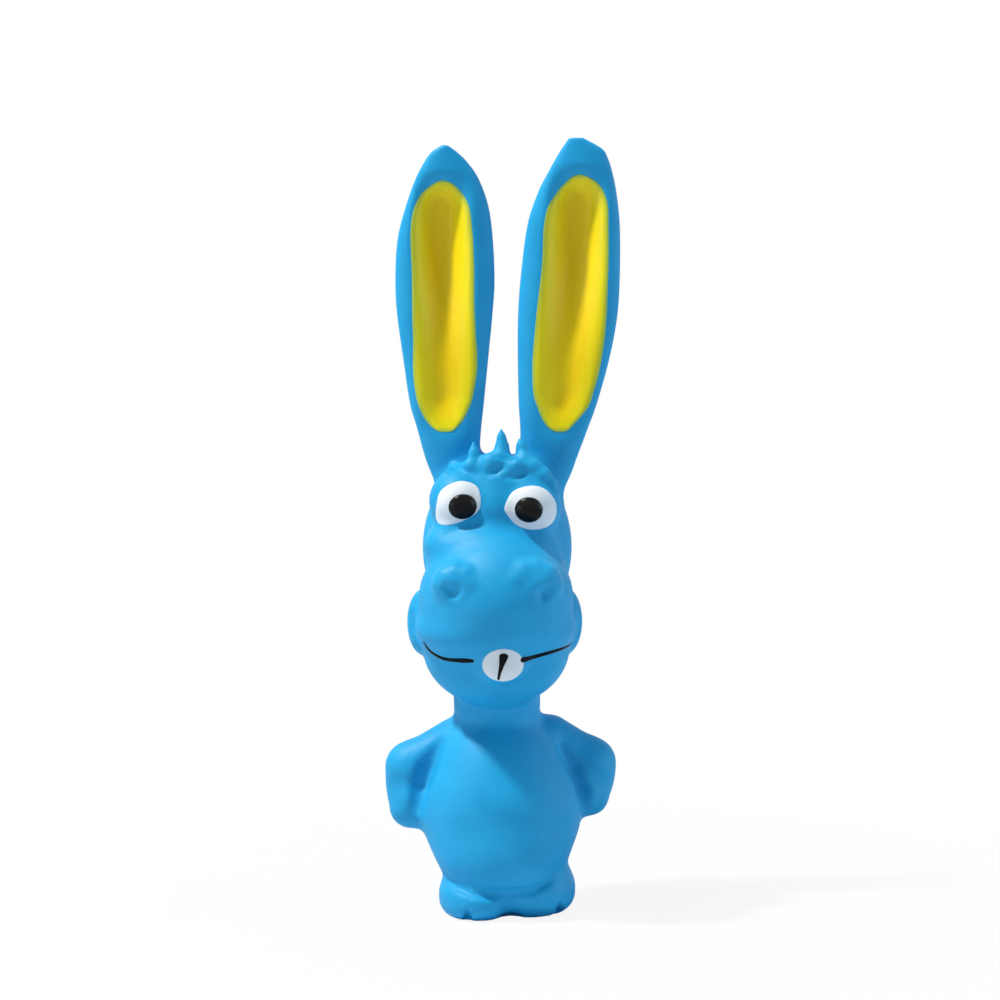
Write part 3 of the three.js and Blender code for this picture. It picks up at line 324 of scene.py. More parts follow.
@dataclass
class Form:
    """The toy's form as distances sampled on a grid, joined up mass by mass."""

    grid: Grid
    values: Array = field(init=False, repr=False)

    def __post_init__(self) -> None:
        """Starts with nothing: every sample is far outside."""
        self.values = np.full(self.grid.shape, FAR, dtype=np.float32)

    def add(self, mass: Mass, softness: float, join: Join = Join.FLOW) -> None:
        """Joins a mass to the samples near it.

        Args:
            mass: the mass to join.
            softness: over how many millimetres it rounds into the form.
            join: whether it flows into the form or is pressed into it.
        """
        low, high = mass.bounds()
        margin = softness + MARGIN_STEPS * self.grid.step
        window = self.grid.window(low - margin, high + margin)
        distance = mass.distance(*self.grid.places(window)).astype(np.float32)
        merge = flow if join is Join.FLOW else press
        self.values[window] = merge(self.values[window], distance, softness)

    def cut_below(self, height: float) -> None:
        """Cuts the form flat at a height.

        Args:
            height: the cut's height in millimetres.
        """
        window = tuple(slice(0, count) for count in self.grid.shape)
        up = self.grid.places(window)[2]
        np.maximum(self.values, height - up, out=self.values)

    def sample(self, points: Array) -> Array:
        """The form at any points, by straight-line interpolation between the eight samples round each.

        In words: each of the eight is weighted by the product of how near the point is along X, Y and Z.

        Args:
            points: places, one row each.

        Returns:
            The distances, one for each point.
        """
        place = (points - np.array(self.grid.low)) / self.grid.step
        limit = np.array(self.grid.shape) - 2
        base = np.clip(np.floor(place).astype(np.int64), 0, limit)
        part = np.clip(place - base, 0, 1)
        total = np.zeros(len(points))
        for corner in np.ndindex(2, 2, 2):
            weight = np.prod(np.where(corner, part, 1 - part), axis=1)
            index = base + corner
            total += weight * self.values[index[:, 0], index[:, 1], index[:, 2]]
        return total

    def outward(self, points: Array) -> Array:
        """Unit directions out of the form.

        In words: the differences of the form over a short step each way along X, Y and Z, scaled to length
        one.

        Args:
            points: places, one row each.

        Returns:
            The directions, one row for each point.
        """
        step = self.grid.step * SLOPE_STEPS
        slopes = np.stack([
            self.sample(points + offset) - self.sample(points - offset) for offset in np.eye(3) * step
        ], axis=1)
        return slopes / np.maximum(np.linalg.norm(slopes, axis=1, keepdims=True), TINY)

    def front(self, x: Array, z: Array) -> Array:
        """The foremost places of the form straight behind points of the front view.

        In words: the samples along each line of sight are read from the front, the first one inside is
        found, and the crossing before it is placed by halving in on it.

        Args:
            x: places across.
            z: places up.

        Returns:
            One point for each pair.
        """
        x, z = np.broadcast_arrays(np.asarray(x, float), np.asarray(z, float))
        flat = np.stack([x.ravel(), np.zeros(x.size), z.ravel()], axis=1)
        depths = np.arange(self.grid.low[1], self.grid.high[1], self.grid.step)
        lines = np.repeat(flat, len(depths), axis=0)
        lines[:, 1] = np.tile(depths, len(flat))
        inside = self.sample(lines).reshape(len(flat), -1) < 0
        first = np.maximum(np.argmax(inside, axis=1), 1)
        near, far = depths[first - 1].copy(), depths[first].copy()
        for _ in range(HALVINGS):
            middle = (near + far) / 2
            flat[:, 1] = middle
            within = self.sample(flat) < 0
            far = np.where(within, middle, far)
            near = np.where(within, near, middle)
        flat[:, 1] = (near + far) / 2
        return flat.reshape(*x.shape, 3)

    def settle(self, points: Array, rounds: int = 2) -> Array:
        """Points moved along the slope onto the skin.

        Args:
            points: places near the skin, one row each.
            rounds: how often they are moved.

        Returns:
            The moved points.
        """
        for _ in range(rounds):
            points = points - self.outward(points) * self.sample(points)[:, None]
        return points


def skin_net(form: Form) -> tuple[Array, Array]:
    """Draws the skin where the form's samples change sign.

    In words: each cell of eight samples whose signs differ holds one point, at the mean of the places where
    its edges cross zero. Each crossed edge gets a four-sided face through the points of the four cells round
    it, turned to point out.

    Args:
        form: the form.

    Returns:
        The points, and the faces as rows of four point numbers.
    """
    values = form.values
    stride = np.array([(values.shape[1] - 1) * (values.shape[2] - 1), values.shape[2] - 1, 1])
    rings, crossings = [], []
    for axis in range(3):
        others = [other for other in range(3) if other != axis]
        near = values[tuple(slice(0, -1) if k == axis else slice(None) for k in range(3))]
        far = values[tuple(slice(1, None) if k == axis else slice(None) for k in range(3))]
        index = np.argwhere((near < 0) != (far < 0))
        inner = np.all([(index[:, k] > 0) & (index[:, k] < values.shape[k] - 1) for k in others], axis=0)
        index = index[inner]
        start, stop = near[tuple(index.T)], far[tuple(index.T)]
        place = index.astype(float)
        place[:, axis] += start / (start - stop)
        corners = []
        for first, second in ((0, 0), (-1, 0), (-1, -1), (0, -1)):
            cell = index.copy()
            cell[:, others[0]] += first
            cell[:, others[1]] += second
            corners.append(cell @ stride)
        ring = np.stack(corners, axis=1)
        turned = (start >= 0) ^ (axis == 1)
        ring[turned] = ring[turned][:, ::-1]
        rings.append(ring)
        crossings.append(np.repeat(place, 4, axis=0))
    rings = np.concatenate(rings)
    crossings = np.concatenate(crossings)
    _, faces = np.unique(rings.ravel(), return_inverse=True)
    faces = faces.reshape(-1)
    count = np.bincount(faces)
    points = np.stack([np.bincount(faces, weights=crossings[:, k]) / count for k in range(3)], axis=1)
    return points * form.grid.step + np.array(form.grid.low), faces.reshape(-1, 4)


# Mesh making


def face_out(data: bpy.types.Mesh) -> None:
    """Turns a closed mesh's faces outwards if they enclose a volume below zero.

    In words: the volume is a sixth of the sum, over the triangles, of one corner dotted with the cross
    product of the other two, and only its sign is read.

    Args:
        data: the mesh.
    """
    points = np.empty(len(data.vertices) * 3)
    data.vertices.foreach_get("co", points)
    points = points.reshape(-1, 3)
    data.calc_loop_triangles()
    corners = np.empty(len(data.loop_triangles) * 3, np.int32)
    data.loop_triangles.foreach_get("vertices", corners)
    a, b, c = (points[corners.reshape(-1, 3)[:, k]] for k in range(3))
    if np.einsum("ij,ij->", a, np.cross(b, c)) < 0:
        data.flip_normals()


@dataclass(frozen=True)
class Workshop:
    """Turns arrays in the toy's own millimetres into objects in the frame's metres."""

    shift: Array

    def mesh(self, name: str, points: Array, faces: Iterable[Array], finish: Paint,
             normals: Array | None = None) -> Piece:
        """Makes one smooth-shaded object with its faces outwards.

        Args:
            name: the object's name.
            points: places, one row each, in millimetres.
            faces: one array for each kind of face, with a row of point numbers for each face.
            finish: its material.
            normals: directions out of the points where the faces already turn out, or None to turn them.

        Returns:
            The new object, at the origin.
        """
        data = bpy.data.meshes.new(name)
        corners = [np.asarray(group, np.int32) for group in faces]
        sizes = np.concatenate([np.full(len(group), group.shape[1], np.int32) for group in corners])
        loops = np.concatenate([group.ravel() for group in corners])
        starts = np.concatenate([[0], np.cumsum(sizes)[:-1]]).astype(np.int32)
        data.vertices.add(len(points))
        data.vertices.foreach_set("co", ((points + self.shift) * MM).astype(np.float32).ravel())
        data.loops.add(len(loops))
        data.loops.foreach_set("vertex_index", loops)
        data.polygons.add(len(sizes))
        data.polygons.foreach_set("loop_start", starts)
        data.polygons.foreach_set("use_smooth", np.ones(len(sizes), bool))
        data.update(calc_edges=True)
        data.validate()
        if normals is None:
            face_out(data)
        else:
            data.normals_split_custom_set_from_vertices(normals.astype(np.float32))
        data.materials.append(finish)
        made = bpy.data.objects.new(name, data)
        bpy.context.scene.collection.objects.link(made)
        return made


def note_points(piece: Piece, name: str, values: Array) -> None:
    """Keeps a value with each point of a piece, for its finish to read.

    Args:
        piece: the piece.
        name: the name under which its finish reads the values.
        values: one for each point.
    """
    held = piece.data.attributes.new(name, "FLOAT", "POINT")
    held.data.foreach_set("value", np.ascontiguousarray(values, np.float32).ravel())


def closed_rings(rings: Array, ends: Array) -> tuple[Array, list[Array]]:
    """A closed surface through rings of equal counts, with a pole before the first and after the last.

    Args:
        rings: places in the shape (rings, points round, 3).
        ends: the two poles.

    Returns:
        The points, and the faces by kind, outwards if the rings turn anticlockwise seen from the last pole.
    """
    rows, count = rings.shape[:2]
    points = np.concatenate([rings.reshape(-1, 3), ends])
    low, high = rows * count, rows * count + 1
    here = np.arange(count)
    following = (here + 1) % count
    base = (np.arange(rows - 1) * count)[:, None]
    above, last = base + count, (rows - 1) * count
    quads = np.stack([base + here, base + following, above + following, above + here], axis=-1)
    bottom = np.stack([np.full(count, low), following, here], axis=-1)
    top = np.stack([np.full(count, high), last + here, last + following], axis=-1)
    return points, [quads.reshape(-1, 4), np.concatenate([bottom, top])]


def closed_sheet(under: Array, over: Array) -> tuple[Array, list[Array]]:
    """Two layers of a grid, joined along their four sides.

    Args:
        under: the lower layer's places in the shape (rows, columns, 3).
        over: the upper layer's places. Rows cross columns must point from the lower layer to the upper.

    Returns:
        The points, and the faces by kind.
    """
    rows, columns = under.shape[:2]
    points = np.concatenate([under.reshape(-1, 3), over.reshape(-1, 3)])
    number = np.arange(rows * columns).reshape(rows, columns)
    cell = np.stack([number[:-1, :-1], number[1:, :-1], number[1:, 1:], number[:-1, 1:]], axis=-1)
    cell = cell.reshape(-1, 4)
    rim = np.concatenate([number[0, :-1], number[:-1, -1], number[-1, :0:-1], number[:0:-1, 0]])
    after = np.roll(rim, -1)
    upper = rows * columns
    sides = np.stack([rim, after, after + upper, rim + upper], axis=-1)
    return points, [np.concatenate([cell[:, ::-1], cell + upper, sides[:, ::-1]])]


# Finishes


def colour(red: int, green: int, blue: int) -> tuple[float, float, float, float]:
    """A colour seen on a screen as the linear values that materials take, by the screen's standard curve.

    In words: a small share is divided by the slope. A larger one is raised by the lift, scaled back to one
    at the top, and taken to the power.

    Args:
        red: from 0 to 255, as are the others.
        green: the green part.
        blue: the blue part.

    Returns:
        The linear red, green and blue, and a full alpha.
    """
    shares = np.array([red, green, blue]) / 255
    curved = ((shares + SCREEN_LIFT) / (1 + SCREEN_LIFT)) ** SCREEN_POWER
    linear = np.where(shares <= SCREEN_KNEE, shares / SCREEN_SLOPE, curved)
    return (*(float(value) for value in linear), 1.0)


def reckon(tree: bpy.types.NodeTree, operation: str, first: Socket, second: Socket) -> Socket:
    """What an operation makes of two values.

    Args:
        tree: the node tree.
        operation: its name in the node.
        first: one value.
        second: the other.

    Returns:
        The result.
    """
    node = tree.nodes.new("ShaderNodeMath")
    node.operation = operation
    tree.links.new(first, node.inputs[0])
    tree.links.new(second, node.inputs[1])
    return node.outputs[0]


def glow(tree: bpy.types.NodeTree, kind: str, tint: Vec3, strength: float = 1.0) -> Socket:
    """A plain background or emission of a colour.

    Args:
        tree: the node tree.
        kind: the node's type.
        tint: its colour.
        strength: how strong it is.

    Returns:
        The shader.
    """
    node = tree.nodes.new(kind)
    node.inputs["Color"].default_value = (*tint, 1)
    node.inputs["Strength"].default_value = strength
    return node.outputs[0]


def mixed(tree: bpy.types.NodeTree, share: Socket, first: Socket, second: Socket) -> Socket:
    """Two shaders mixed by a share.

    Args:
        tree: the node tree.
        share: how much of the second there is.
        first: one shader.
        second: the other.

    Returns:
        The mix.
    """
    node = tree.nodes.new("ShaderNodeMixShader")
    for slot, source in enumerate((share, first, second)):
        tree.links.new(source, node.inputs[slot])
    return node.outputs[0]


class Nodes:
    """One material and the few kinds of node that its finish is made from."""

    NOISE_LOW, NOISE_HIGH = 0.3, 0.7  # the range that most of a noise keeps to

    def __init__(self, name: str) -> None:
        """Starts a material with a shader and object coordinates.

        Args:
            name: the material's name.
        """
        self.material = bpy.data.materials.new(name)
        self.material.use_nodes = True
        self.tree = self.material.node_tree
        self.shader = self.tree.nodes["Principled BSDF"]
        self.places = self.tree.nodes.new("ShaderNodeTexCoord").outputs["Object"]

    def link(self, source: Socket, target: Socket) -> None:
        """Joins two sockets."""
        self.tree.links.new(source, target)

    def noise(self, size_mm: float, detail: float = 3.0, stretch: Vec3 = (1, 1, 1)) -> Socket:
        """Noise with lumps of about a size.

        Args:
            size_mm: the size in millimetres.
            detail: how many finer layers it has.
            stretch: how far the lumps are drawn out along X, Y and Z.

        Returns:
            The noise, mostly from 0.3 to 0.7.
        """
        scale = self.tree.nodes.new("ShaderNodeMapping")
        for slot, drawn in enumerate(stretch):
            scale.inputs["Scale"].default_value[slot] = 1 / drawn
        self.link(self.places, scale.inputs["Vector"])
        lumps = self.tree.nodes.new("ShaderNodeTexNoise")
        lumps.inputs["Scale"].default_value = 1 / (size_mm * MM)
        lumps.inputs["Detail"].default_value = detail
        self.link(scale.outputs["Vector"], lumps.inputs["Vector"])
        return lumps.outputs["Fac"]

    def spread(self, value: Socket, low: float, high: float,
               to_low: float = 0.0, to_high: float = 1.0) -> Socket:
        """A value's range, stretched to another range and held there.

        Args:
            value: the value.
            low: the lower end of its range.
            high: the upper end.
            to_low: what the lower end becomes.
            to_high: what the upper end becomes.

        Returns:
            The stretched value.
        """
        node = self.tree.nodes.new("ShaderNodeMapRange")
        numbers = (low, high, to_low, to_high)
        for name, number in zip(("From Min", "From Max", "To Min", "To Max"), numbers):
            node.inputs[name].default_value = number
        self.link(value, node.inputs["Value"])
        return node.outputs["Result"]

    def noted(self, name: str) -> Socket:
        """A value kept with the points of the piece.

        Args:
            name: the name that it was kept under.

        Returns:
            The value.
        """
        node = self.tree.nodes.new("ShaderNodeAttribute")
        node.attribute_name = name
        return node.outputs["Fac"]

    def blend(self, share: Socket, first: Sequence[float], second: Sequence[float] | Socket) -> Socket:
        """A mix of two colours by a share.

        Args:
            share: how much of the second there is.
            first: a colour.
            second: a colour, or a socket that gives one.

        Returns:
            The mixed colour.
        """
        node = self.tree.nodes.new("ShaderNodeMix")
        node.data_type = "RGBA"
        node.inputs["A"].default_value = first
        if isinstance(second, Socket):
            self.link(second, node.inputs["B"])
        else:
            node.inputs["B"].default_value = second
        self.link(share, node.inputs["Factor"])
        return node.outputs["Result"]

    def tint(self, source: Socket) -> None:
        """Gives the shader its colour."""
        self.link(source, self.shader.inputs["Base Color"])

    def rough(self, noise: Socket, low: float, high: float) -> None:
        """Gives the shader a roughness that follows a noise.

        Args:
            noise: the noise.
            low: the roughness at the noise's low end.
            high: the roughness at its high end.
        """
        level = self.spread(noise, self.NOISE_LOW, self.NOISE_HIGH, low, high)
        self.link(level, self.shader.inputs["Roughness"])

    def bump(self, height: Socket, depth_mm: float) -> None:
        """Fine relief on the shader.

        Args:
            height: what the relief follows.
            depth_mm: its depth in millimetres.
        """
        node = self.tree.nodes.new("ShaderNodeBump")
        node.inputs["Distance"].default_value = depth_mm * MM
        node.inputs["Strength"].default_value = 1.0
        self.link(height, node.inputs["Height"])
        self.link(node.outputs["Normal"], self.shader.inputs["Normal"])

    def set(self, **values: float) -> None:
        """Sets the shader's own sockets.

        Args:
            values: numbers by the sockets' names, with spaces written as underscores.
        """
        for name, value in values.items():
            self.shader.inputs[name.replace("_", " ")].default_value = value


@dataclass(frozen=True)
class LatexFinish:
    """Satin dipped latex: even colour with faint cloudy patches and a very fine skin."""

    name: str = "latex_blue"
    light: tuple[float, ...] = colour(26, 160, 216)
    deep: tuple[float, ...] = colour(18, 153, 210)
    patch_mm: float = 9.0
    patch_range: tuple[float, float] = (0.35, 0.65)
    skin_mm: float = 0.7
    skin_depth_mm: float = 0.02
    rough: tuple[float, float] = (0.49, 0.6)
    shine: float = 0.3

    def make(self) -> Paint:
        """Builds the material.

        Returns:
            The new material.
        """
        nodes = Nodes(self.name)
        patches = nodes.spread(nodes.noise(self.patch_mm), *self.patch_range)
        nodes.tint(nodes.blend(patches, self.deep, self.light))
        fine = nodes.noise(self.skin_mm, detail=4.0)
        nodes.rough(fine, *self.rough)
        nodes.bump(fine, self.skin_depth_mm)
        nodes.set(Specular_IOR_Level=self.shine)
        return nodes.material


@dataclass(frozen=True)
class BrushedFinish:
    """Paint laid on with a brush: faint streaks along the stroke, thin at the rim, where latex shows."""

    name: str
    light: tuple[float, ...]
    deep: tuple[float, ...]
    thin: tuple[float, ...]
    relief_mm: float
    # painted shade: a more orange yellow laid in the middle of a trough, the colour the yellow takes in the
    # trough's shade and bounce
    trough_shade: tuple[float, ...] | None = None
    streak_mm: float = 0.9
    streak_length: float = 14.0
    cloud_size: float = 7
    cloud_length: float = 2.5
    mix_range: tuple[float, float] = (0.75, 1.25)
    least_cover: float = 0.25
    rough: tuple[float, float] = (0.36, 0.5)
    shine: float = 0.28

    def make(self) -> Paint:
        """Builds the material.

        Returns:
            The new material.
        """
        nodes = Nodes(self.name)
        streaks = nodes.noise(self.streak_mm, stretch=(1, 1, self.streak_length))
        clouds = nodes.noise(self.streak_mm * self.cloud_size, detail=2.0, stretch=(1, 1, self.cloud_length))
        share = nodes.spread(reckon(nodes.tree, "ADD", streaks, clouds), *self.mix_range)
        body = nodes.blend(share, self.deep, self.light)
        # painted shade: the colour turns towards that orange yellow where the noted share falls, in the
        # middle of the trough
        if self.trough_shade:
            body = nodes.blend(nodes.noted("unshaded"), self.trough_shade, body)
        cover = nodes.spread(nodes.noted("rim"), 0.0, 1.0, self.least_cover, 1.0)
        nodes.tint(nodes.blend(cover, self.thin, body))
        nodes.rough(streaks, *self.rough)
        nodes.bump(streaks, self.relief_mm)
        nodes.set(Specular_IOR_Level=self.shine)
        return nodes.material


@dataclass(frozen=True)
class GlossFinish:
    """Thick glossy enamel with a faintly uneven skin."""

    name: str
    tint: tuple[float, ...]
    rough: tuple[float, float]
    shine: float = 0.14
    lightest: float = 1.35
    wave_mm: float = 1.6
    wave_depth_mm: float = 0.03

    def make(self) -> Paint:
        """Builds the material.

        Returns:
            The new material.
        """
        nodes = Nodes(self.name)
        wave = nodes.noise(self.wave_mm, detail=2.0)
        nodes.tint(nodes.blend(wave, self.tint, [min(value * self.lightest, 1) for value in self.tint]))
        nodes.rough(wave, *self.rough)
        nodes.bump(wave, self.wave_depth_mm)
        nodes.set(Specular_IOR_Level=self.shine)
        return nodes.material


@dataclass(frozen=True)
class MouldedFinish:
    """Moulded plastic of the squeaker, with a faint spark-eroded grain."""

    name: str
    tint: tuple[float, ...]
    rough: tuple[float, float]
    darkest: float = 0.93
    grain_mm: float = 0.25
    grain_depth_mm: float = 0.01

    def make(self) -> Paint:
        """Builds the material.

        Returns:
            The new material.
        """
        nodes = Nodes(self.name)
        grain = nodes.noise(self.grain_mm, detail=2.0)
        nodes.tint(nodes.blend(grain, [value * self.darkest for value in self.tint[:3]] + [1], self.tint))
        nodes.rough(grain, *self.rough)
        nodes.bump(grain, self.grain_depth_mm)
        return nodes.material


# The toy's sub-assemblies


@dataclass(frozen=True)
class ShareBox:
    """A box that masses are set out in as shares of its width, depth and height."""

    width: float
    depth: float
    height: float
    base: float

    def place(self, across: float, back: float, up: float) -> Vec3:
        """A place in the box."""
        return across * self.width, back * self.depth, self.base + up * self.height

    def ovals(self, rows: Sequence[Sequence[float]]) -> list[Joined]:
        """Ellipsoids that flow into the form.

        Args:
            rows: for each a middle across, back and up, three half sizes and a softness, all as shares.

        Returns:
            The ellipsoids in millimetres, each with its softness and join.
        """
        made = []
        for *middle, wide, deep, high, softness in rows:
            half = (wide * self.width, deep * self.depth, high * self.height)
            made.append((Oval(self.place(*middle), half), softness * self.width, Join.FLOW))
        return made


TORSO = ShareBox(width=35, depth=31, height=44, base=0)
HEAD = ShareBox(width=36, depth=39, height=54, base=44)


def table_curve(table: Array, heights: Array) -> Array:
    """Values between the rows of a table whose first column is a height, by a smooth curve through the rows.

    In words: between two rows the value is a cubic whose ends match the rows and whose slopes at the ends
    are those of the chords across the neighbouring rows.

    Args:
        table: rows of a height and the values at it.
        heights: where to read the table.

    Returns:
        The values, one row for each height.
    """
    table = np.asarray(table, float)
    heights = np.asarray(heights, float)
    row = np.clip(np.searchsorted(table[:, 0], heights, side="right") - 1, 0, len(table) - 2)
    before, after = np.maximum(row - 1, 0), np.minimum(row + 2, len(table) - 1)
    low, high = table[row], table[row + 1]
    span = (high[:, 0] - low[:, 0])[:, None]
    share = np.clip((heights[:, None] - low[:, :1]) / span, 0, 1)
    slope_low = (high - table[before]) / (high[:, :1] - table[before][:, :1]) * span
    slope_high = (table[after] - low) / (table[after][:, :1] - low[:, :1]) * span
    square, cube = share ** 2, share ** 3
    values = ((2 * cube - 3 * square + 1) * low + (cube - 2 * square + share) * slope_low
              + (3 * square - 2 * cube) * high + (cube - square) * slope_high)
    return values[:, 1:]


@dataclass(frozen=True)
class Ear(Mass):
    """One long scooped ear, drawn as upright sections between an inner and an outer edge."""

    side: Side
    hinge: Vec3
    reach: float
    edges: tuple[tuple[float, float, float], ...]
    lining: tuple[tuple[float, float, float], ...]
    width: float = 20.9
    thickness: float = 7.4
    root_thickness: float = 6.4
    root_rise: float = 0.12
    squareness: float = 0.24
    scoop_depth: float = 5.6
    scoop_margin: float = 0.07
    scoop_wall: float = 1.7
    scoop_past: float = 0.04
    scoop_eases: tuple[float, float] = (0.16, 0.15)
    scoop_holds: tuple[float, float] = (0.09, 0.12)
    shallowest: float = 0.4
    deepen_start: float = 0.22
    deepen_length: float = 0.5
    lean: float = 2.0
    tip_forward: float = 0.85
    tip_start: float = 0.5
    tip_length: float = 0.3
    foot_share: float = -0.13
    thickness_shares: tuple[tuple[float, float], ...] = (
        (-0.13, 0.6), (0, 0.865), (0.15, 0.95), (0.4, 1), (0.7, 0.9), (0.88, 0.66), (0.96, 0.42), (1, 0.2))

    @property
    def root_middle(self) -> float:
        """Middle of the root's section, in millimetres from the tables' zero."""
        root = next(row for row in self.edges if row[0] == 0)
        return (root[1] + root[2]) / 2 * self.width

    def across(self, table: Sequence[Sequence[float]], share: Array) -> Array:
        """Inner and outer X of the ear.

        Args:
            table: rows of a share of the length and the two edges there.
            share: shares of the ear's length.

        Returns:
            Two values in millimetres for each share.
        """
        values = table_curve(np.array(table), share) * self.width - self.root_middle
        return self.hinge[0] + self.side.value * values

    def scoop(self, share: Array, x: Array) -> Array:
        """How deep the front is scooped: deepest along the middle and high up, none at the edges and ends.

        In words: the depth, times a smooth step at each end, times a smooth rise up the ear, times half of
        one more than the cosine of how far off the middle the place is.

        Args:
            share: shares of the ear's length.
            x: places across for each share.

        Returns:
            Depths in millimetres, in the shape of x.
        """
        start, end = self.lining[0][0], self.lining[-1][0]
        rising, falling = self.scoop_eases
        along = np.minimum((share - start + self.scoop_past) / rising,
                           (end - share + self.scoop_past) / falling)
        along = np.clip(along, 0, 1)
        low_hold, high_hold = self.scoop_holds
        inner, outer = self.across(self.lining, np.clip(share, start + low_hold, end - high_hold)).T
        half = np.abs(outer - inner) / 2 + self.scoop_margin * self.width / 2
        off = np.minimum(np.abs(x - ((inner + outer) / 2)[:, None]) / half[:, None], 1)
        deepen = np.clip((share - self.deepen_start) / self.deepen_length, 0, 1)
        deepen = self.shallowest + (1 - self.shallowest) * deepen * deepen * (3 - 2 * deepen)
        fade = (deepen * along * along * (3 - 2 * along))[:, None]
        return self.scoop_depth * fade * (1 + np.cos(np.pi * off)) / 2

    def sections(self, height: Array, count: int = 72) -> Array:
        """The ear's outlines at heights.

        In words: the back is a flattened oval between the two edges, and the front is the same oval with the
        scoop taken out of it, down to the wall that is left. Near the tip the middle comes forward.

        Args:
            height: heights in millimetres.
            count: how many points an outline has.

        Returns:
            Places in the shape (heights, points round, 2), as X and Y.
        """
        share = np.clip((height - self.hinge[2]) / self.reach, self.foot_share, 1)
        inner, outer = self.across(self.edges, share).T
        middle, half = (inner + outer) / 2, (outer - inner) / 2
        thick = table_curve(np.array(self.thickness_shares), share)[:, 0] * self.thickness
        rise = np.clip(share / self.root_rise, 0, 1)
        thick = self.root_thickness + (thick - self.root_thickness) * np.where(share > 0, rise, 1)
        turn = np.linspace(0, 2 * np.pi, count, endpoint=False)
        x = middle[:, None] + half[:, None] * np.cos(turn)
        bulge = thick[:, None] / 2 * np.abs(np.sin(turn)) ** (1 - self.squareness * rise)[:, None]
        back = self.hinge[1] + self.lean * np.maximum(share, 0) ** 2
        thinned = np.where(share > self.tip_start, self.thickness - thick, 0)
        thinned = thinned * np.clip((share - self.tip_start) / self.tip_length, 0, 1)
        back = (back - self.tip_forward * thinned / 2)[:, None]
        deepest = back + np.maximum(bulge - self.scoop_wall, -bulge)
        front = np.minimum(back - bulge + self.scoop(share, x), deepest)
        y = np.where(np.sin(turn) >= 0, back + bulge, front)
        return np.stack([x, y], axis=-1)

    def distance(self, x: Array, y: Array, z: Array) -> Array:
        """Distance to the ear: to the outline at each height, rounded off over the tip and the foot.

        In words: for each straight piece of the outline the distance to it is taken and the least is kept.
        A place is inside where a line from it crosses the outline an odd number of times.

        Args:
            x: places across, in millimetres.
            y: places back.
            z: places up.

        Returns:
            The distances, one for each place that the three make together.
        """
        outline = self.sections(z.ravel()).astype(np.float32)
        following = np.roll(outline, -1, axis=1)
        nearest = np.full(np.broadcast_shapes(x.shape, y.shape, z.shape), FAR ** 2, np.float32)
        inside = np.zeros(nearest.shape, bool)
        for index in range(outline.shape[1]):
            ax, ay = (outline[:, index, k].reshape(1, 1, -1) for k in range(2))
            bx, by = (following[:, index, k].reshape(1, 1, -1) for k in range(2))
            step_x, step_y = bx - ax, by - ay
            share = ((x - ax) * step_x + (y - ay) * step_y) / np.maximum(step_x ** 2 + step_y ** 2, TINY)
            share = np.clip(share, 0, 1)
            gap = (x - ax - share * step_x) ** 2 + (y - ay - share * step_y) ** 2
            np.minimum(nearest, gap, out=nearest)
            crossed = (ay > y) != (by > y)
            with np.errstate(divide="ignore", invalid="ignore"):
                reach = ax + (y - ay) * step_x / step_y
            inside ^= crossed & (x < reach)
        flat = np.where(inside, -1, 1) * np.sqrt(nearest)
        tip, foot = self.hinge[2] + self.reach, self.hinge[2] + self.foot_share * self.reach
        over = np.maximum(z - tip, foot - z)
        outside = np.hypot(np.maximum(flat, 0), np.maximum(over, 0))
        return outside + np.minimum(np.maximum(flat, over), 0)

    def bounds(self) -> Bounds:
        """Box of the ear.

        Returns:
            Its lowest and highest corner.
        """
        edges = np.array(self.edges)
        reach = self.across(self.edges, edges[:, 0])
        low = (reach.min(), self.hinge[1] - self.thickness, self.hinge[2] + self.foot_share * self.reach)
        high = (reach.max(), self.hinge[1] + self.lean + self.thickness, self.hinge[2] + self.reach)
        return np.array(low), np.array(high)


LEFT_EAR = Ear(
    side=Side.LEFT, hinge=(11.052, 1.5015, 97.2), reach=67.8,
    edges=((-0.13, -0.12, 0.12), (-0.06, -0.24, 0.235), (0, -0.273, 0.307), (0.09, -0.276, 0.415),
           (0.171, -0.292, 0.51), (0.323, -0.301, 0.645), (0.457, -0.297, 0.72), (0.59, -0.263, 0.742),
           (0.737, -0.196, 0.737), (0.838, -0.086, 0.699), (0.898, 0.015, 0.656), (0.939, 0.088, 0.61),
           (0.966, 0.14, 0.555), (1, 0.215, 0.36)),
    lining=((0.0823, 0.115, 0.13), (0.085, 0.07, 0.175), (0.091, 0.03, 0.215), (0.102, -0.015, 0.25),
            (0.13, -0.075, 0.335), (0.165, -0.12, 0.42), (0.2, -0.15, 0.462), (0.26, -0.157, 0.52),
            (0.33, -0.155, 0.555), (0.457, -0.118, 0.597), (0.62, -0.064, 0.618), (0.72, -0.04, 0.62),
            (0.785, 0, 0.608), (0.83, 0.09, 0.565), (0.858, 0.17, 0.51), (0.876, 0.235, 0.43),
            (0.884, 0.28, 0.365), (0.886, 0.31, 0.33)),
)
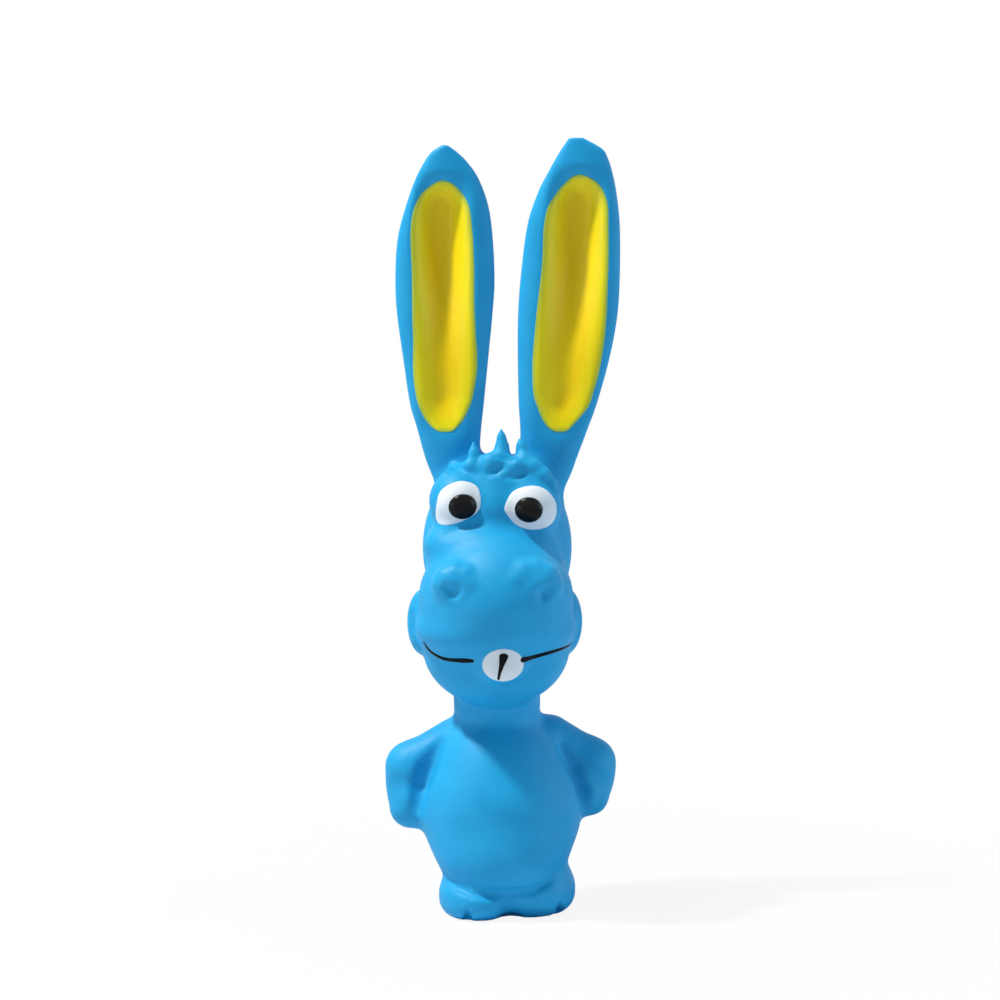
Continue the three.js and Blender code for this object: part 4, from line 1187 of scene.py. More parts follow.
RIGHT_EAR = Ear(
    side=Side.RIGHT, hinge=(-9.612, 1.5015, 97.2), reach=66.24,
    edges=((-0.13, -0.12, 0.1), (-0.06, -0.24, 0.2), (0, -0.275, 0.273), (0.1, -0.3, 0.36),
           (0.171, -0.325, 0.425), (0.32, -0.372, 0.495), (0.46, -0.415, 0.555), (0.56, -0.437, 0.572),
           (0.7, -0.42, 0.548), (0.81, -0.372, 0.46), (0.9, -0.265, 0.355), (0.95, -0.15, 0.27),
           (0.98, -0.05, 0.2), (1, 0.04, 0.1)),
    lining=((0.0859, 0.065, 0.085), (0.0875, 0.02, 0.13), (0.093, -0.02, 0.17), (0.103, -0.06, 0.21),
            (0.126, -0.115, 0.272), (0.16, -0.165, 0.33), (0.195, -0.205, 0.367), (0.287, -0.252, 0.402),
            (0.4, -0.243, 0.402), (0.54, -0.228, 0.402), (0.7, -0.213, 0.422), (0.77, -0.195, 0.407),
            (0.81, -0.17, 0.372), (0.845, -0.115, 0.308), (0.865, -0.06, 0.235), (0.88, 0, 0.17),
            (0.886, 0.06, 0.13), (0.888, 0.09, 0.1)),
)


@dataclass(frozen=True)
class Mark:
    """A ridge or groove that the sculptor drew on the front: a line of the front view laid on the skin."""

    line: tuple[tuple[float, float], ...]
    radii: tuple[float, ...]
    lift: float
    softness: float
    join: Join = Join.FLOW
    blend_share: float = 0.5
    least_blend: float = 0.2

    def chain(self, form: Form) -> Chain:
        """The line as tapering limbs, lifted off the skin, or sunk into it where the lift is below zero.

        Args:
            form: the form that carries the mark.

        Returns:
            The limbs.
        """
        line = np.array(self.line)
        points = form.front(line[:, 0], line[:, 1])
        points = points + form.outward(points) * self.lift
        radii = np.interp(np.linspace(0, 1, len(points)), np.linspace(0, 1, len(self.radii)), self.radii)
        softness = max(min(self.radii) * self.blend_share, self.least_blend)
        return limbs(np.column_stack([points, radii]), softness)


# Rows of a middle across, back and up, half sizes and a softness, as shares of the torso's or head's box.
BODY_OVALS = (
    (0.003, -0.016, 0.75, 0.325, 0.365, 0.235, 0.12),  # chest
    (0.02, -0.048, 0.5, 0.494, 0.494, 0.398, 0.12),  # trunk
    (0.02, -0.235, 0.285, 0.36, 0.315, 0.195, 0.14),  # belly
)
HEAD_OVALS = (
    (-0.002, 0.02, 0.02, 0.258, 0.236, 0.24, 0.06),  # neck
    (-0.005, 0.05, 0.296, 0.38, 0.295, 0.26, 0.1),  # nape
    (0, 0.026, 0.63, 0.442, 0.333, 0.37, 0.1),  # skull
    (-0.016, -0.155, 0.255, 0.434, 0.325, 0.24, 0.05),  # jaw
    (-0.022, -0.244, 0.454, 0.452, 0.392, 0.266, 0.085),  # muzzle
    (-0.028, -0.235, 0.335, 0.467, 0.35, 0.135, 0.07),  # lips
)
FACE_OVALS = (
    (-0.445, -0.1, 0.346, 0.094, 0.115, 0.13, 0.03),  # right cheek
    (0.402, -0.1, 0.346, 0.094, 0.115, 0.13, 0.03),  # left cheek
    (-0.238, -0.165, 0.83, 0.172, 0.165, 0.121, 0.045),  # right eyeball
    (0.178, -0.165, 0.813, 0.186, 0.17, 0.126, 0.045),  # left eyeball
    (-0.035, -0.16, 0.765, 0.19, 0.168, 0.2, 0.05),  # brow
    (-0.13, -0.2, 0.73, 0.14, 0.135, 0.06, 0.07),  # corner under the right eye
    (-0.06, -0.2, 0.662, 0.38, 0.195, 0.115, 0.08),  # bridge
    (-0.27, -0.482, 0.533, 0.13, 0.105, 0.074, 0.06),  # right nostril
    (0.2, -0.482, 0.533, 0.14, 0.105, 0.08, 0.06),  # left nostril
    (0.002, -0.475, 0.222, 0.14, 0.085, 0.08, 0.07),  # mound under the tooth
    (0.042, -0.15, 0.93, 0.236, 0.115, 0.075, 0.07),  # crown behind the forelock
)
# The feet's places across and back, lift and rounding, and softness, as shares.
FEET = ((-0.28, -0.24, 0, 0.85, 0.1), (0.5, -0.18, 0.1, 0.9, 0.2))
# The arms from shoulder to hand: places across, back and up and thickness, as shares.
ARMS = (
    ((-0.4, 0.08, 0.81, 0.94), (-0.761, 0.09, 0.69, 0.95), (-0.761, 0.125, 0.59, 0.91),
     (-0.762, 0.05, 0.495, 0.9)),
    ((0.47, 0.08, 0.83, 0.95), (0.83, 0.1, 0.7, 0.96), (0.835, 0.14, 0.62, 0.87), (0.815, 0.06, 0.54, 0.84)),
)
# The latex between forearms and belly: stops of X, Y, Z and a radius in millimetres, and a softness.
FILLINGS = (
    (((-14.6, 1.2, 33.4, 3.0), (-16.9, 1.2, 28.6, 3.5), (-17.6, 0.2, 24.4, 3.8)), 1.8),
    (((14.8, 0.9, 33.6, 3.0), (17.2, 0.6, 28.8, 3.3), (18.2, 0.0, 24.6, 3.6)), 1.5),
)
# The forelock, in the same form: three spikes, two locks on the brow and a strand that sweeps past the eye.
HAIR = (
    (((-5.2, -7.4, 96.0, 1.8), (-5.3, -7.2, 99.0, 1.1), (-5.4, -7.2, 101.1, 0.4)), 1.1),
    (((0.5, -6.9, 98.0, 2.2), (0.6, -6.9, 100.3, 1.35), (0.5, -6.9, 102.2, 0.85), (0.4, -7.0, 103.8, 0.35)),
     1.1),
    (((4.9, -6.6, 98.0, 1.7), (4.7, -6.6, 100.3, 1.0), (4.3, -6.7, 101.7, 0.35)), 1.0),
    (((-3.5, -7.6, 96.0, 1.5), (-2.0, -8.3, 97.0, 1.95), (-0.2, -8.2, 97.9, 1.7)), 1.3),
    (((1.4, -8.6, 97.2, 1.2), (3.2, -9.1, 96.5, 1.5), (5.2, -8.9, 96.2, 1.2)), 1.2),
    (((5.0, -8.0, 98.0, 1.3), (7.2, -8.6, 96.3, 1.5), (9.2, -8.9, 94.3, 1.6), (10.7, -8.7, 92.3, 1.4),
      (11.4, -8.8, 90.7, 0.9)), 1.0),
)
# Ridges and grooves in millimetres of the front view.
MARKS = (
    # brow locks' hollows
    Mark(((-2.3, 94.8), (-1.0, 95.4), (0.3, 96.0)), (0.35, 0.68, 0.45), 0.3, 0.9, Join.PRESS),
    Mark(((1.3, 94.1), (3.2, 94.4), (5.2, 95.1)), (0.35, 0.68, 0.45), 0.3, 0.9, Join.PRESS),
    # groove over the muzzle
    Mark(((-11.6, 82.2), (-7.0, 84.4), (-2.3, 84.9), (4.0, 83.4), (9.1, 80.6), (12.3, 77.0)),
         (0.6, 1.3, 1.7, 1.8, 1.7, 1.2), 1.0, 2.0, Join.PRESS),
    # arches over the nostrils
    Mark(((-14.0, 73.6), (-12.6, 75.4), (-10.2, 76.2), (-7.8, 75.6), (-6.8, 73.6)),
         (1.0, 1.3, 1.4, 1.3, 1.0), -1.3, 2.0),
    Mark(((2.7, 74.6), (4.4, 76.6), (7.2, 77.2), (10.0, 75.8), (12.0, 72.4)),
         (1.0, 1.4, 1.5, 1.4, 1.0), -1.25, 2.0),
    # forelock's middle, strand past the eye, right brow
    Mark(((-0.7, 98.6), (1.0, 97.9), (2.6, 97.8), (4.2, 98.6)), (0.35, 0.5, 0.5, 0.35), 0.25, 0.6,
         Join.PRESS),
    Mark(((8.5, 94.0), (10.0, 92.8), (11.2, 91.2)), (0.3, 0.45, 0.3), 0.2, 0.5, Join.PRESS),
    Mark(((-11.6, 94.4), (-9.2, 95.6), (-6.6, 96.6)), (0.5, 0.7, 0.9), -0.2, 1.2),
    # nostrils
    Mark(((-11.6, 72.0), (-10.7, 71.3), (-9.9, 71.8)), (0.9, 1.2, 0.9), 0.2, 1.4, Join.PRESS),
    Mark(((7.9, 71.5), (8.7, 70.9), (9.5, 71.5)), (0.9, 1.25, 0.9), 0.2, 1.3, Join.PRESS),
    # cheeks
    Mark(((-18.7, 64.6), (-18.2, 61.7), (-17.3, 59.6), (-16.0, 58.9)), (0.6, 1.0, 0.7, 0.35), 0.2, 0.8,
         Join.PRESS),
    Mark(((16.9, 65.2), (17.5, 62.4), (16.9, 59.7), (15.7, 58.4)), (0.35, 0.6, 0.55, 0.3), 0.2, 0.6,
         Join.PRESS),
    # creases between arms and belly
    Mark(((-12.5, 36.0), (-14.9, 31.2), (-16.4, 27.3), (-17.7, 22.8)), (0.6, 1.7, 1.9, 0.8), 0.45, 2.0,
         Join.PRESS),
    Mark(((13.5, 35.2), (16.0, 30.4), (17.5, 26.6), (18.6, 22.2)), (0.6, 1.8, 1.9, 0.8), 0.3, 1.7,
         Join.PRESS),
    # crease under the belly, toes
    Mark(((-12.0, 9.2), (-9.6, 7.2), (-6.2, 6.3), (-3.2, 6.1), (2.3, 6.1), (6.5, 6.7), (10.5, 8.6)),
         (0.1, 0.3, 0.65, 0.95, 1.0, 0.8, 0.3), 0.1, 1.3, Join.PRESS),
    Mark(((-7.0, 0.2), (-7.1, 2.9)), (1.0, 0.5), 0.1, 0.5, Join.PRESS),
    Mark(((12.4, 0.4), (12.5, 3.2)), (1.0, 0.5), 0.1, 0.5, Join.PRESS),
)


@dataclass
class LatexMoulding:
    """The one-piece latex moulding: body, head, arms, feet, forelock and the ears that grow out of it."""

    shop: Workshop
    step: float = 0.43
    grid_low: Vec3 = (-28.0, -27.0, -3.0)
    grid_high: Vec3 = (29.5, 16.5, 167.5)
    arm_half: float = 24.4
    arm_thickness: float = 10.2
    arm_softness: float = 0.32
    joint_softness: float = 0.25
    base_middle: tuple[float, float] = (0.057, -0.03)
    base_half: Vec3 = (0.36, 0.345, 0.12)
    base_rounding: float = 0.7
    base_softness: float = 0.1
    foot_size: Vec3 = (16.4, 21.6, 8.3)
    sole_cut: float = 0.5
    hair_softness: float = 0.8
    filling_softness: float = 1.0
    instep: Oval = Oval((2.4, -14.5, -0.7), (3.4, 5.5, 2.4))
    instep_softness: float = 1.0
    recess: tuple[Vec3, ...] = ((0, 7.5, 1.6), (7, 5.6, 7.4), (9, 7.2, 5.8))
    recess_rounding: float = 0.05
    recess_softness: float = 0.15
    ear_cut_height: float = 99.6
    hair_plane: float = -3.4
    ear_gap: float = 2.0
    ear_softness: float = 3.0
    bend_rise: float = 0.6
    bend_end: float = 112.0
    form: Form = field(init=False, repr=False)

    def masses(self) -> list[Joined]:
        """Every mass of the toy, in the order in which they join.

        Returns:
            The masses, each with its softness and join.
        """
        across, back = self.base_middle
        wide, deep, high = np.multiply(self.base_half, (TORSO.width, TORSO.depth, TORSO.height)).tolist()
        base = Block((across * TORSO.width, back * TORSO.depth, high - self.sole_cut), (wide, deep, high),
                     self.base_rounding * high)
        return [
            (base, self.base_softness * TORSO.width, Join.FLOW),
            *TORSO.ovals(BODY_OVALS),
            *HEAD.ovals(HEAD_OVALS),
            *((self.foot(*shares), softness * self.foot_size[0], Join.FLOW) for *shares, softness in FEET),
            *((self.arm(joints), self.arm_softness * self.arm_thickness, Join.FLOW) for joints in ARMS),
            *HEAD.ovals(FACE_OVALS),
            *((limbs(stops, self.filling_softness), softness, Join.FLOW) for stops, softness in FILLINGS),
            *((ear, self.ear_softness, Join.FLOW) for ear in (LEFT_EAR, RIGHT_EAR)),
            *((limbs(stops, self.hair_softness), softness, Join.FLOW) for stops, softness in HAIR),
        ]

    def foot(self, across: float, back: float, lift: float, rounding: float) -> Block:
        """A foot, from shares of its own sizes.

        Args:
            across: its middle's place across.
            back: its middle's place back.
            lift: how far it is lifted.
            rounding: how round its edges are.

        Returns:
            The foot in millimetres.
        """
        width, length, height = self.foot_size
        half = (height + self.sole_cut) / 2
        return Block((across * width, back * length, half - self.sole_cut + lift * height),
                     (width / 2, length / 2, half), rounding * half)

    def arm(self, joints: Sequence[Sequence[float]]) -> Chain:
        """An arm through its shoulder, elbow and hand.

        Args:
            joints: for each its place across, back and up and its thickness, as shares.

        Returns:
            The arm in millimetres.
        """
        stops = [(across * self.arm_half, back * TORSO.depth, up * TORSO.height,
                  thick * self.arm_thickness / 2) for across, back, up, thick in joints]
        return limbs(stops, self.joint_softness * self.arm_thickness)

    def shape(self) -> None:
        """Works the whole form out on the grid."""
        self.form = Form(Grid(self.grid_low, self.grid_high, self.step))
        for mass, softness, join in self.masses():
            self.form.add(mass, softness, join)
        for mark in MARKS:
            self.form.add(mark.chain(self.form), mark.softness, mark.join)
        self.form.add(self.instep, self.instep_softness, Join.PRESS)
        for up, radius, half in self.recess:
            hollow = Block((*SQUEAKER, up), (radius, radius, half), self.recess_rounding)
            self.form.add(hollow, self.recess_softness, Join.PRESS)
        self.form.cut_below(0)

    def build(self, finish: Paint) -> list[Piece]:
        """Draws the skin and parts it at the ears' roots.

        Args:
            finish: the latex.

        Returns:
            The body, the left ear and the right ear.
        """
        self.shape()
        points, quads = skin_net(self.form)
        points = self.form.settle(points)
        points[:, 2] = np.where(points[:, 2] < UNDERSIDE, np.maximum(points[:, 2], 0), points[:, 2])
        normals = self.form.outward(points)
        middle = points[quads].mean(axis=1)
        on_ear = (middle[:, 2] > self.ear_cut_height) & (middle[:, 1] > self.hair_plane)
        owner = np.where(on_ear, np.where(middle[:, 0] > self.ear_gap, 1, 2), 0)
        names = ("latex_body", "left_ear_latex", "right_ear_latex")
        return [self.piece(name, points, normals, quads[owner == number], finish)
                for number, name in enumerate(names)]

    def piece(self, name: str, points: Array, normals: Array, quads: Array, finish: Paint) -> Piece:
        """One piece of the skin, with a cap inside the latex over each open root.

        In words: the edges with a face on one side only are joined, ear by ear, to their points' middle.

        Args:
            name: the piece's name.
            points: all points of the skin.
            normals: the directions out of them.
            quads: the piece's faces, as rows of four point numbers.
            finish: the latex.

        Returns:
            The piece.
        """
        used, faces = np.unique(quads.ravel(), return_inverse=True)
        faces = faces.reshape(-1, 4)
        places, directions = points[used], normals[used]
        edges = np.stack([faces, np.roll(faces, -1, axis=1)], axis=-1).reshape(-1, 2)
        forward, backward = (edges[:, k] * len(used) + edges[:, 1 - k] for k in (0, 1))
        open_edges = edges[~np.isin(forward, backward)]
        groups, caps = [faces], []
        for side in Side:
            near = open_edges[(places[open_edges[:, 0], 0] - self.ear_gap) * side.value > 0]
            if len(near) == 0:
                continue
            caps.append(np.stack([near[:, 1], near[:, 0], np.full(len(near), len(places))], axis=-1))
            places = np.concatenate([places, places[near[:, 0]].mean(axis=0)[None]])
            directions = np.concatenate([directions, [[0, 0, 1]]])
        if caps:
            groups.append(np.concatenate(caps))
        return self.shop.mesh(name, places, groups, finish, directions)

    def bend_points(self, ear: Ear) -> tuple[Vec3, Vec3]:
        """Where an ear starts and ends its bend.

        Args:
            ear: the ear.

        Returns:
            The two places, in the frame's metres.
        """
        heights = (self.ear_cut_height + self.bend_rise, self.bend_end)
        ends = [(np.array((*ear.hinge[:2], z)) + self.shop.shift) * MM for z in heights]
        return tuple(float(v) for v in ends[0]), tuple(float(v) for v in ends[1])


@dataclass
class Paintwork:
    """The hand-painted coats on the latex: linings, eyes, tooth and smile."""

    shop: Workshop
    form: Form
    coat: float = 0.22
    sunk: float = 0.25
    disc_rim: float = 14
    stroke_blunt: float = 24
    stroke_end: float = 0.05
    stroke_dip: float = 0.02
    lining_rim: float = 12
    lining_dip: float = 0.04
    thin_mm: float = 1.1
    # where the painted shade in an ear's trough begins, in millimetres from the lining's edge, how far it
    # grows, and its largest share
    shade_start: float = 1.2
    shade_length: float = 3.6
    shade_share: float = 0.85
    waver_mm: tuple[float, float] = (0.07, 0.05)
    waver_turns: tuple[float, float] = (17, 31)
    waver_start: float = 2

    def outline(self, middle: tuple[float, float], shares: Sequence[tuple[float, float]], size: float,
                count: int = 96) -> Array:
        """A smooth closed outline through points.

        In words: between two points the place is the cubic through them whose slopes are half the chord
        between their neighbours.

        Args:
            middle: the outline's middle, across and up.
            shares: the points as shares of the size round the middle.
            size: the size in millimetres.
            count: how many places the outline gets.

        Returns:
            The outline's places, across and up.
        """
        knots = np.array(shares) * size + np.array(middle)
        turn = np.linspace(0, len(knots), count, endpoint=False)
        index = turn.astype(int)
        part = (turn - index)[:, None]
        p0, p1, p2, p3 = (knots[(index + k) % len(knots)] for k in (-1, 0, 1, 2))
        return 0.5 * (2 * p1 + (p2 - p0) * part + (2 * p0 - 5 * p1 + 4 * p2 - p3) * part ** 2
                      + (3 * p1 - p0 - 3 * p2 + p3) * part ** 3)

    def laid(self, x: Array, z: Array) -> tuple[Array, Array]:
        """The skin behind places of the front view.

        Args:
            x: places across.
            z: places up.

        Returns:
            The places on the skin and the directions out of it.
        """
        skin = self.form.front(x, z)
        return skin, self.form.outward(skin.reshape(-1, 3)).reshape(skin.shape)

    def disc(self, name: str, middle: tuple[float, float], outline: Array, swell: Callable[[Array], Array],
             finish: Paint, rings: int = 20) -> Piece:
        """A coat inside an outline, laid on the skin.

        In words: each ring is the outline drawn in towards the middle. A place of the front view is carried
        back onto the skin and lifted along the way out by the swell of its ring. The underside is sunk.

        Args:
            name: the piece's name.
            middle: across and up.
            outline: the outline's points, across and up.
            swell: lift in millimetres for shares of the way to the outline.
            finish: its paint.
            rings: how many rings it has.

        Returns:
            The coat.
        """
        share = np.sin(np.linspace(0, np.pi / 2, rings + 1))[1:]
        flat = np.array(middle) + share[:, None, None] * (outline - np.array(middle))
        skin, out = self.laid(flat[..., 0], flat[..., 1])
        top = skin + out * swell(share)[:, None, None]
        low = skin - out * self.sunk
        centre, axis = self.laid(np.array(middle[:1]), np.array(middle[1:]))
        poles = np.concatenate([centre - axis * self.sunk, centre + axis * swell(np.zeros(1))])
        points, faces = closed_rings(np.concatenate([low, top[::-1]]), poles)
        made = self.shop.mesh(name, points, faces, finish)
        rim = np.clip((1 - share) * self.disc_rim, 0, 1)
        rims = np.repeat(np.concatenate([rim, rim[::-1]]), len(outline))
        note_points(made, "rim", np.append(rims, [1, 1]))
        return made

    def stroke(self, name: str, line: Array, half: Array, height: Array, finish: Paint, rows: int = 90,
               columns: int = 13) -> Piece:
        """A brush stroke along a line of the front view, round across and tapering at its ends.

        In words: the line is a smooth curve through its points. Across it the place runs from one edge to
        the other, and the lift is the stroke's height times the root of one less the square of the share.

        Args:
            name: the piece's name.
            line: the line's points, across and up.
            half: half widths along the line.
            height: heights along the line.
            finish: its paint.
            rows: how many rows lie along it.
            columns: how many columns lie across it.

        Returns:
            The stroke.
        """
        share = (1 - np.cos(np.linspace(0, np.pi, rows))) / 2
        middle = table_curve(np.column_stack([np.linspace(0, 1, len(line)), line]), share)
        along = np.gradient(middle, axis=0)
        along /= np.linalg.norm(along, axis=1, keepdims=True)
        aside = np.stack([along[:, 1], -along[:, 0]], axis=1)
        wide = np.interp(share, np.linspace(0, 1, len(half)), half)
        tall = np.interp(share, np.linspace(0, 1, len(height)), height)
        ends = np.sqrt(np.clip(1 - np.abs(2 * share - 1) ** self.stroke_blunt, 0, 1))
        wide = (wide * np.maximum(ends, self.stroke_end))[:, None, None]
        across = np.sin(np.linspace(-np.pi / 2, np.pi / 2, columns))
        flat = middle[:, None] + aside[:, None] * (across[None, :, None] * wide)
        skin, out = self.laid(flat[..., 0], flat[..., 1])
        swell = np.sqrt(np.clip(1 - across ** 2, 0, 1))[None, :] * (tall * ends)[:, None]
        over = skin + out * (swell - self.stroke_dip)[..., None]
        return self.shop.mesh(name, *closed_sheet(skin - out * self.sunk, over), finish)

    def lining(self, ear: Ear, finish: Paint, rows: int = 150, columns: int = 40) -> Piece:
        """The coat in an ear's scoop, with edges that waver as a brush leaves them.

        In words: rows climb the ear, closer together at the ends, and columns cross from the inner edge to
        the outer. The lift is the coat, falling to nothing over the last twelfth of the way to every side.

        Args:
            ear: the ear.
            finish: its paint.
            rows: how many rows it has.
            columns: how many columns it has.

        Returns:
            The lining.
        """
        start, end = ear.lining[0][0], ear.lining[-1][0]
        way = np.linspace(0, 1, rows)
        share = start + (end - start) * (1 - np.cos(np.pi * way)) / 2
        inner, outer = ear.across(ear.lining, share).T
        (wide, fine), (slow, quick) = self.waver_mm, self.waver_turns
        waver = wide * np.sin(way * slow + ear.hinge[0]) + fine * np.sin(way * quick + self.waver_start)
        inner, outer = inner + waver, outer + waver[::-1]
        across = (1 - np.cos(np.linspace(0, np.pi, columns))) / 2
        x = inner[:, None] + (outer - inner)[:, None] * across
        z = np.repeat((ear.hinge[2] + share * ear.reach)[:, None], columns, axis=1)
        skin, out = self.laid(x, z)
        near_side, near_end = np.minimum(across, 1 - across)[None, :], np.minimum(way, 1 - way)[:, None]
        rim = np.minimum(near_side * self.lining_rim, near_end * self.lining_rim)
        swell = self.coat * np.sqrt(np.clip(rim, 0, 1)) - self.lining_dip
        points, faces = closed_sheet(skin - out * self.sunk, skin + out * swell[..., None])
        made = self.shop.mesh(f"{ear.side.word}_ear_paint", points, faces, finish)
        off = np.minimum((outer - inner)[:, None] * ear.side.value * near_side,
                         np.minimum(share - start, end - share)[:, None] * ear.reach)
        note_points(made, "rim", np.tile(np.clip(off / self.thin_mm, 0, 1).ravel(), 2))
        # painted shade: a share that falls from the lining's edges to its middle, where the orange of shaded
        # yellow is laid
        deep = np.clip((off - self.shade_start) / self.shade_length, 0, 1)
        note_points(made, "unshaded", np.tile(1 - self.shade_share * deep.ravel(), 2))
        return made


@dataclass(frozen=True)
class Eye:
    """An eye: middles as shares of the head, the outline as shares of the size, the pupil in millimetres."""

    side: Side
    middle: tuple[float, float]
    outline: tuple[tuple[float, float], ...]
    pupil: tuple[float, float]
    pupil_half: tuple[float, float]
    size: float = 10.44


EYES = (
    Eye(Side.LEFT, (0.178, 0.812), ((-0.53, 0.02), (-0.36, 0.32), (0, 0.44), (0.3, 0.36), (0.5, 0.12),
                                    (0.53, -0.12), (0.45, -0.33), (0.26, -0.43), (0, -0.45), (-0.28, -0.36),
                                    (-0.47, -0.16)), (0.163, 0.805), (2.85, 2.6)),
    Eye(Side.RIGHT, (-0.25, 0.828), ((-0.42, -0.03), (-0.32, 0.27), (0.02, 0.45), (0.35, 0.38), (0.46, 0.18),
                                     (0.42, -0.14), (0.04, -0.37), (-0.3, -0.44), (-0.42, -0.34)),
        (-0.22, 0.818), (2.9, 2.6)),
)
# The smile's strokes: places across and up, and half widths, in millimetres.
SMILES = {
    Side.RIGHT: (((-16.3, 59.8), (-14.7, 57.7), (-12.0, 56.5), (-8.6, 56.5), (-5.9, 56.6)),
                 (0.18, 0.27, 0.33, 0.42, 0.56, 0.42)),
    Side.LEFT: (((3.5, 56.9), (6.0, 57.2), (8.8, 57.7), (12.2, 58.2), (15.6, 58.6)),
                (0.66, 0.5, 0.45, 0.42, 0.36, 0.18)),
}
TOOTH_DROP = ((0.26, 58.7), (0.12, 57.9), (-0.35, 55.8), (-0.75, 54.0), (-0.88, 52.9))
TOOTH_DROP_HALF = (0.1, 0.75, 1.0, 1.05, 0.92, 0.72, 0.55, 0.46, 0.4, 0.36, 0.34, 0.32, 0.28)
TOOTH_DROP_HEIGHT = (0.6, 0.6, 0.5, 0.45)


@dataclass
class Face:
    """The painted face: eyes, tooth and smile."""

    paint: Paintwork
    white: Paint
    black: Paint
    ink: Paint
    coat_height: float = 0.3
    coat_squareness: float = 10
    coat_dip: float = 0.05
    bead_foot: float = 0.25
    bead_height: float = 0.95
    bead_dip: float = 0.35
    bead_rim: float = 0.999
    ring_points: int = 64
    tooth_middle: tuple[float, float] = (0.002, 0.222)
    tooth_half: tuple[float, float] = (4.35, 3.6)
    stroke_height: float = 0.6

    def coat(self, share: Array) -> Array:
        """An even coat that rounds down under the skin: a height times the root of one less a power."""
        return self.coat_height * np.sqrt(np.clip(1 - share ** self.coat_squareness, 0, 1)) - self.coat_dip

    def bead(self, share: Array) -> Array:
        """A bead of paint: a foot and a half round, with a rim that dips under the coat that carries it."""
        dome = self.bead_foot + self.bead_height * np.sqrt(np.clip(1 - share ** 2, 0, 1))
        return dome - self.bead_dip * (share > self.bead_rim)

    def build(self) -> None:
        """Paints the eyes, then the tooth, then the smile."""
        turn = np.linspace(0, 2 * np.pi, self.ring_points, endpoint=False)
        ring = np.stack([np.cos(turn), np.sin(turn)], axis=1)
        for eye in EYES:
            word, middle = eye.side.word, self.place(*eye.middle)
            outline = self.paint.outline(middle, eye.outline, eye.size)
            made = self.paint.disc(f"{word}_white", middle, outline, self.coat, self.white, rings=24)
            stand_in(made, f"{word}_eye_white")
            middle = self.place(*eye.pupil)
            outline = np.array(middle) + ring * eye.pupil_half
            made = self.paint.disc(f"{word}_pupil_bead", middle, outline, self.bead, self.black)
            stand_in(made, f"{word}_pupil")
        middle = self.place(*self.tooth_middle)
        outline = np.array(middle) + ring * self.tooth_half
        made = self.paint.disc("tooth_coat", middle, outline, self.coat, self.white)
        stand_in(made, "tooth")
        made = self.paint.stroke("tooth_stroke", np.array(TOOTH_DROP), np.array(TOOTH_DROP_HALF),
                                 np.array(TOOTH_DROP_HEIGHT), self.ink, rows=60)
        stand_in(made, "tooth_line")
        for side, (line, half) in SMILES.items():
            made = self.paint.stroke(f"{side.word}_smile", np.array(line), np.array(half),
                                     np.array(half) * self.stroke_height, self.ink)
            stand_in(made, f"{side.word}_mouth_line")

    def place(self, across: float, up: float) -> tuple[float, float]:
        """A place of the front view from shares of the head."""
        return across * HEAD.width, HEAD.base + up * HEAD.height


# Studio


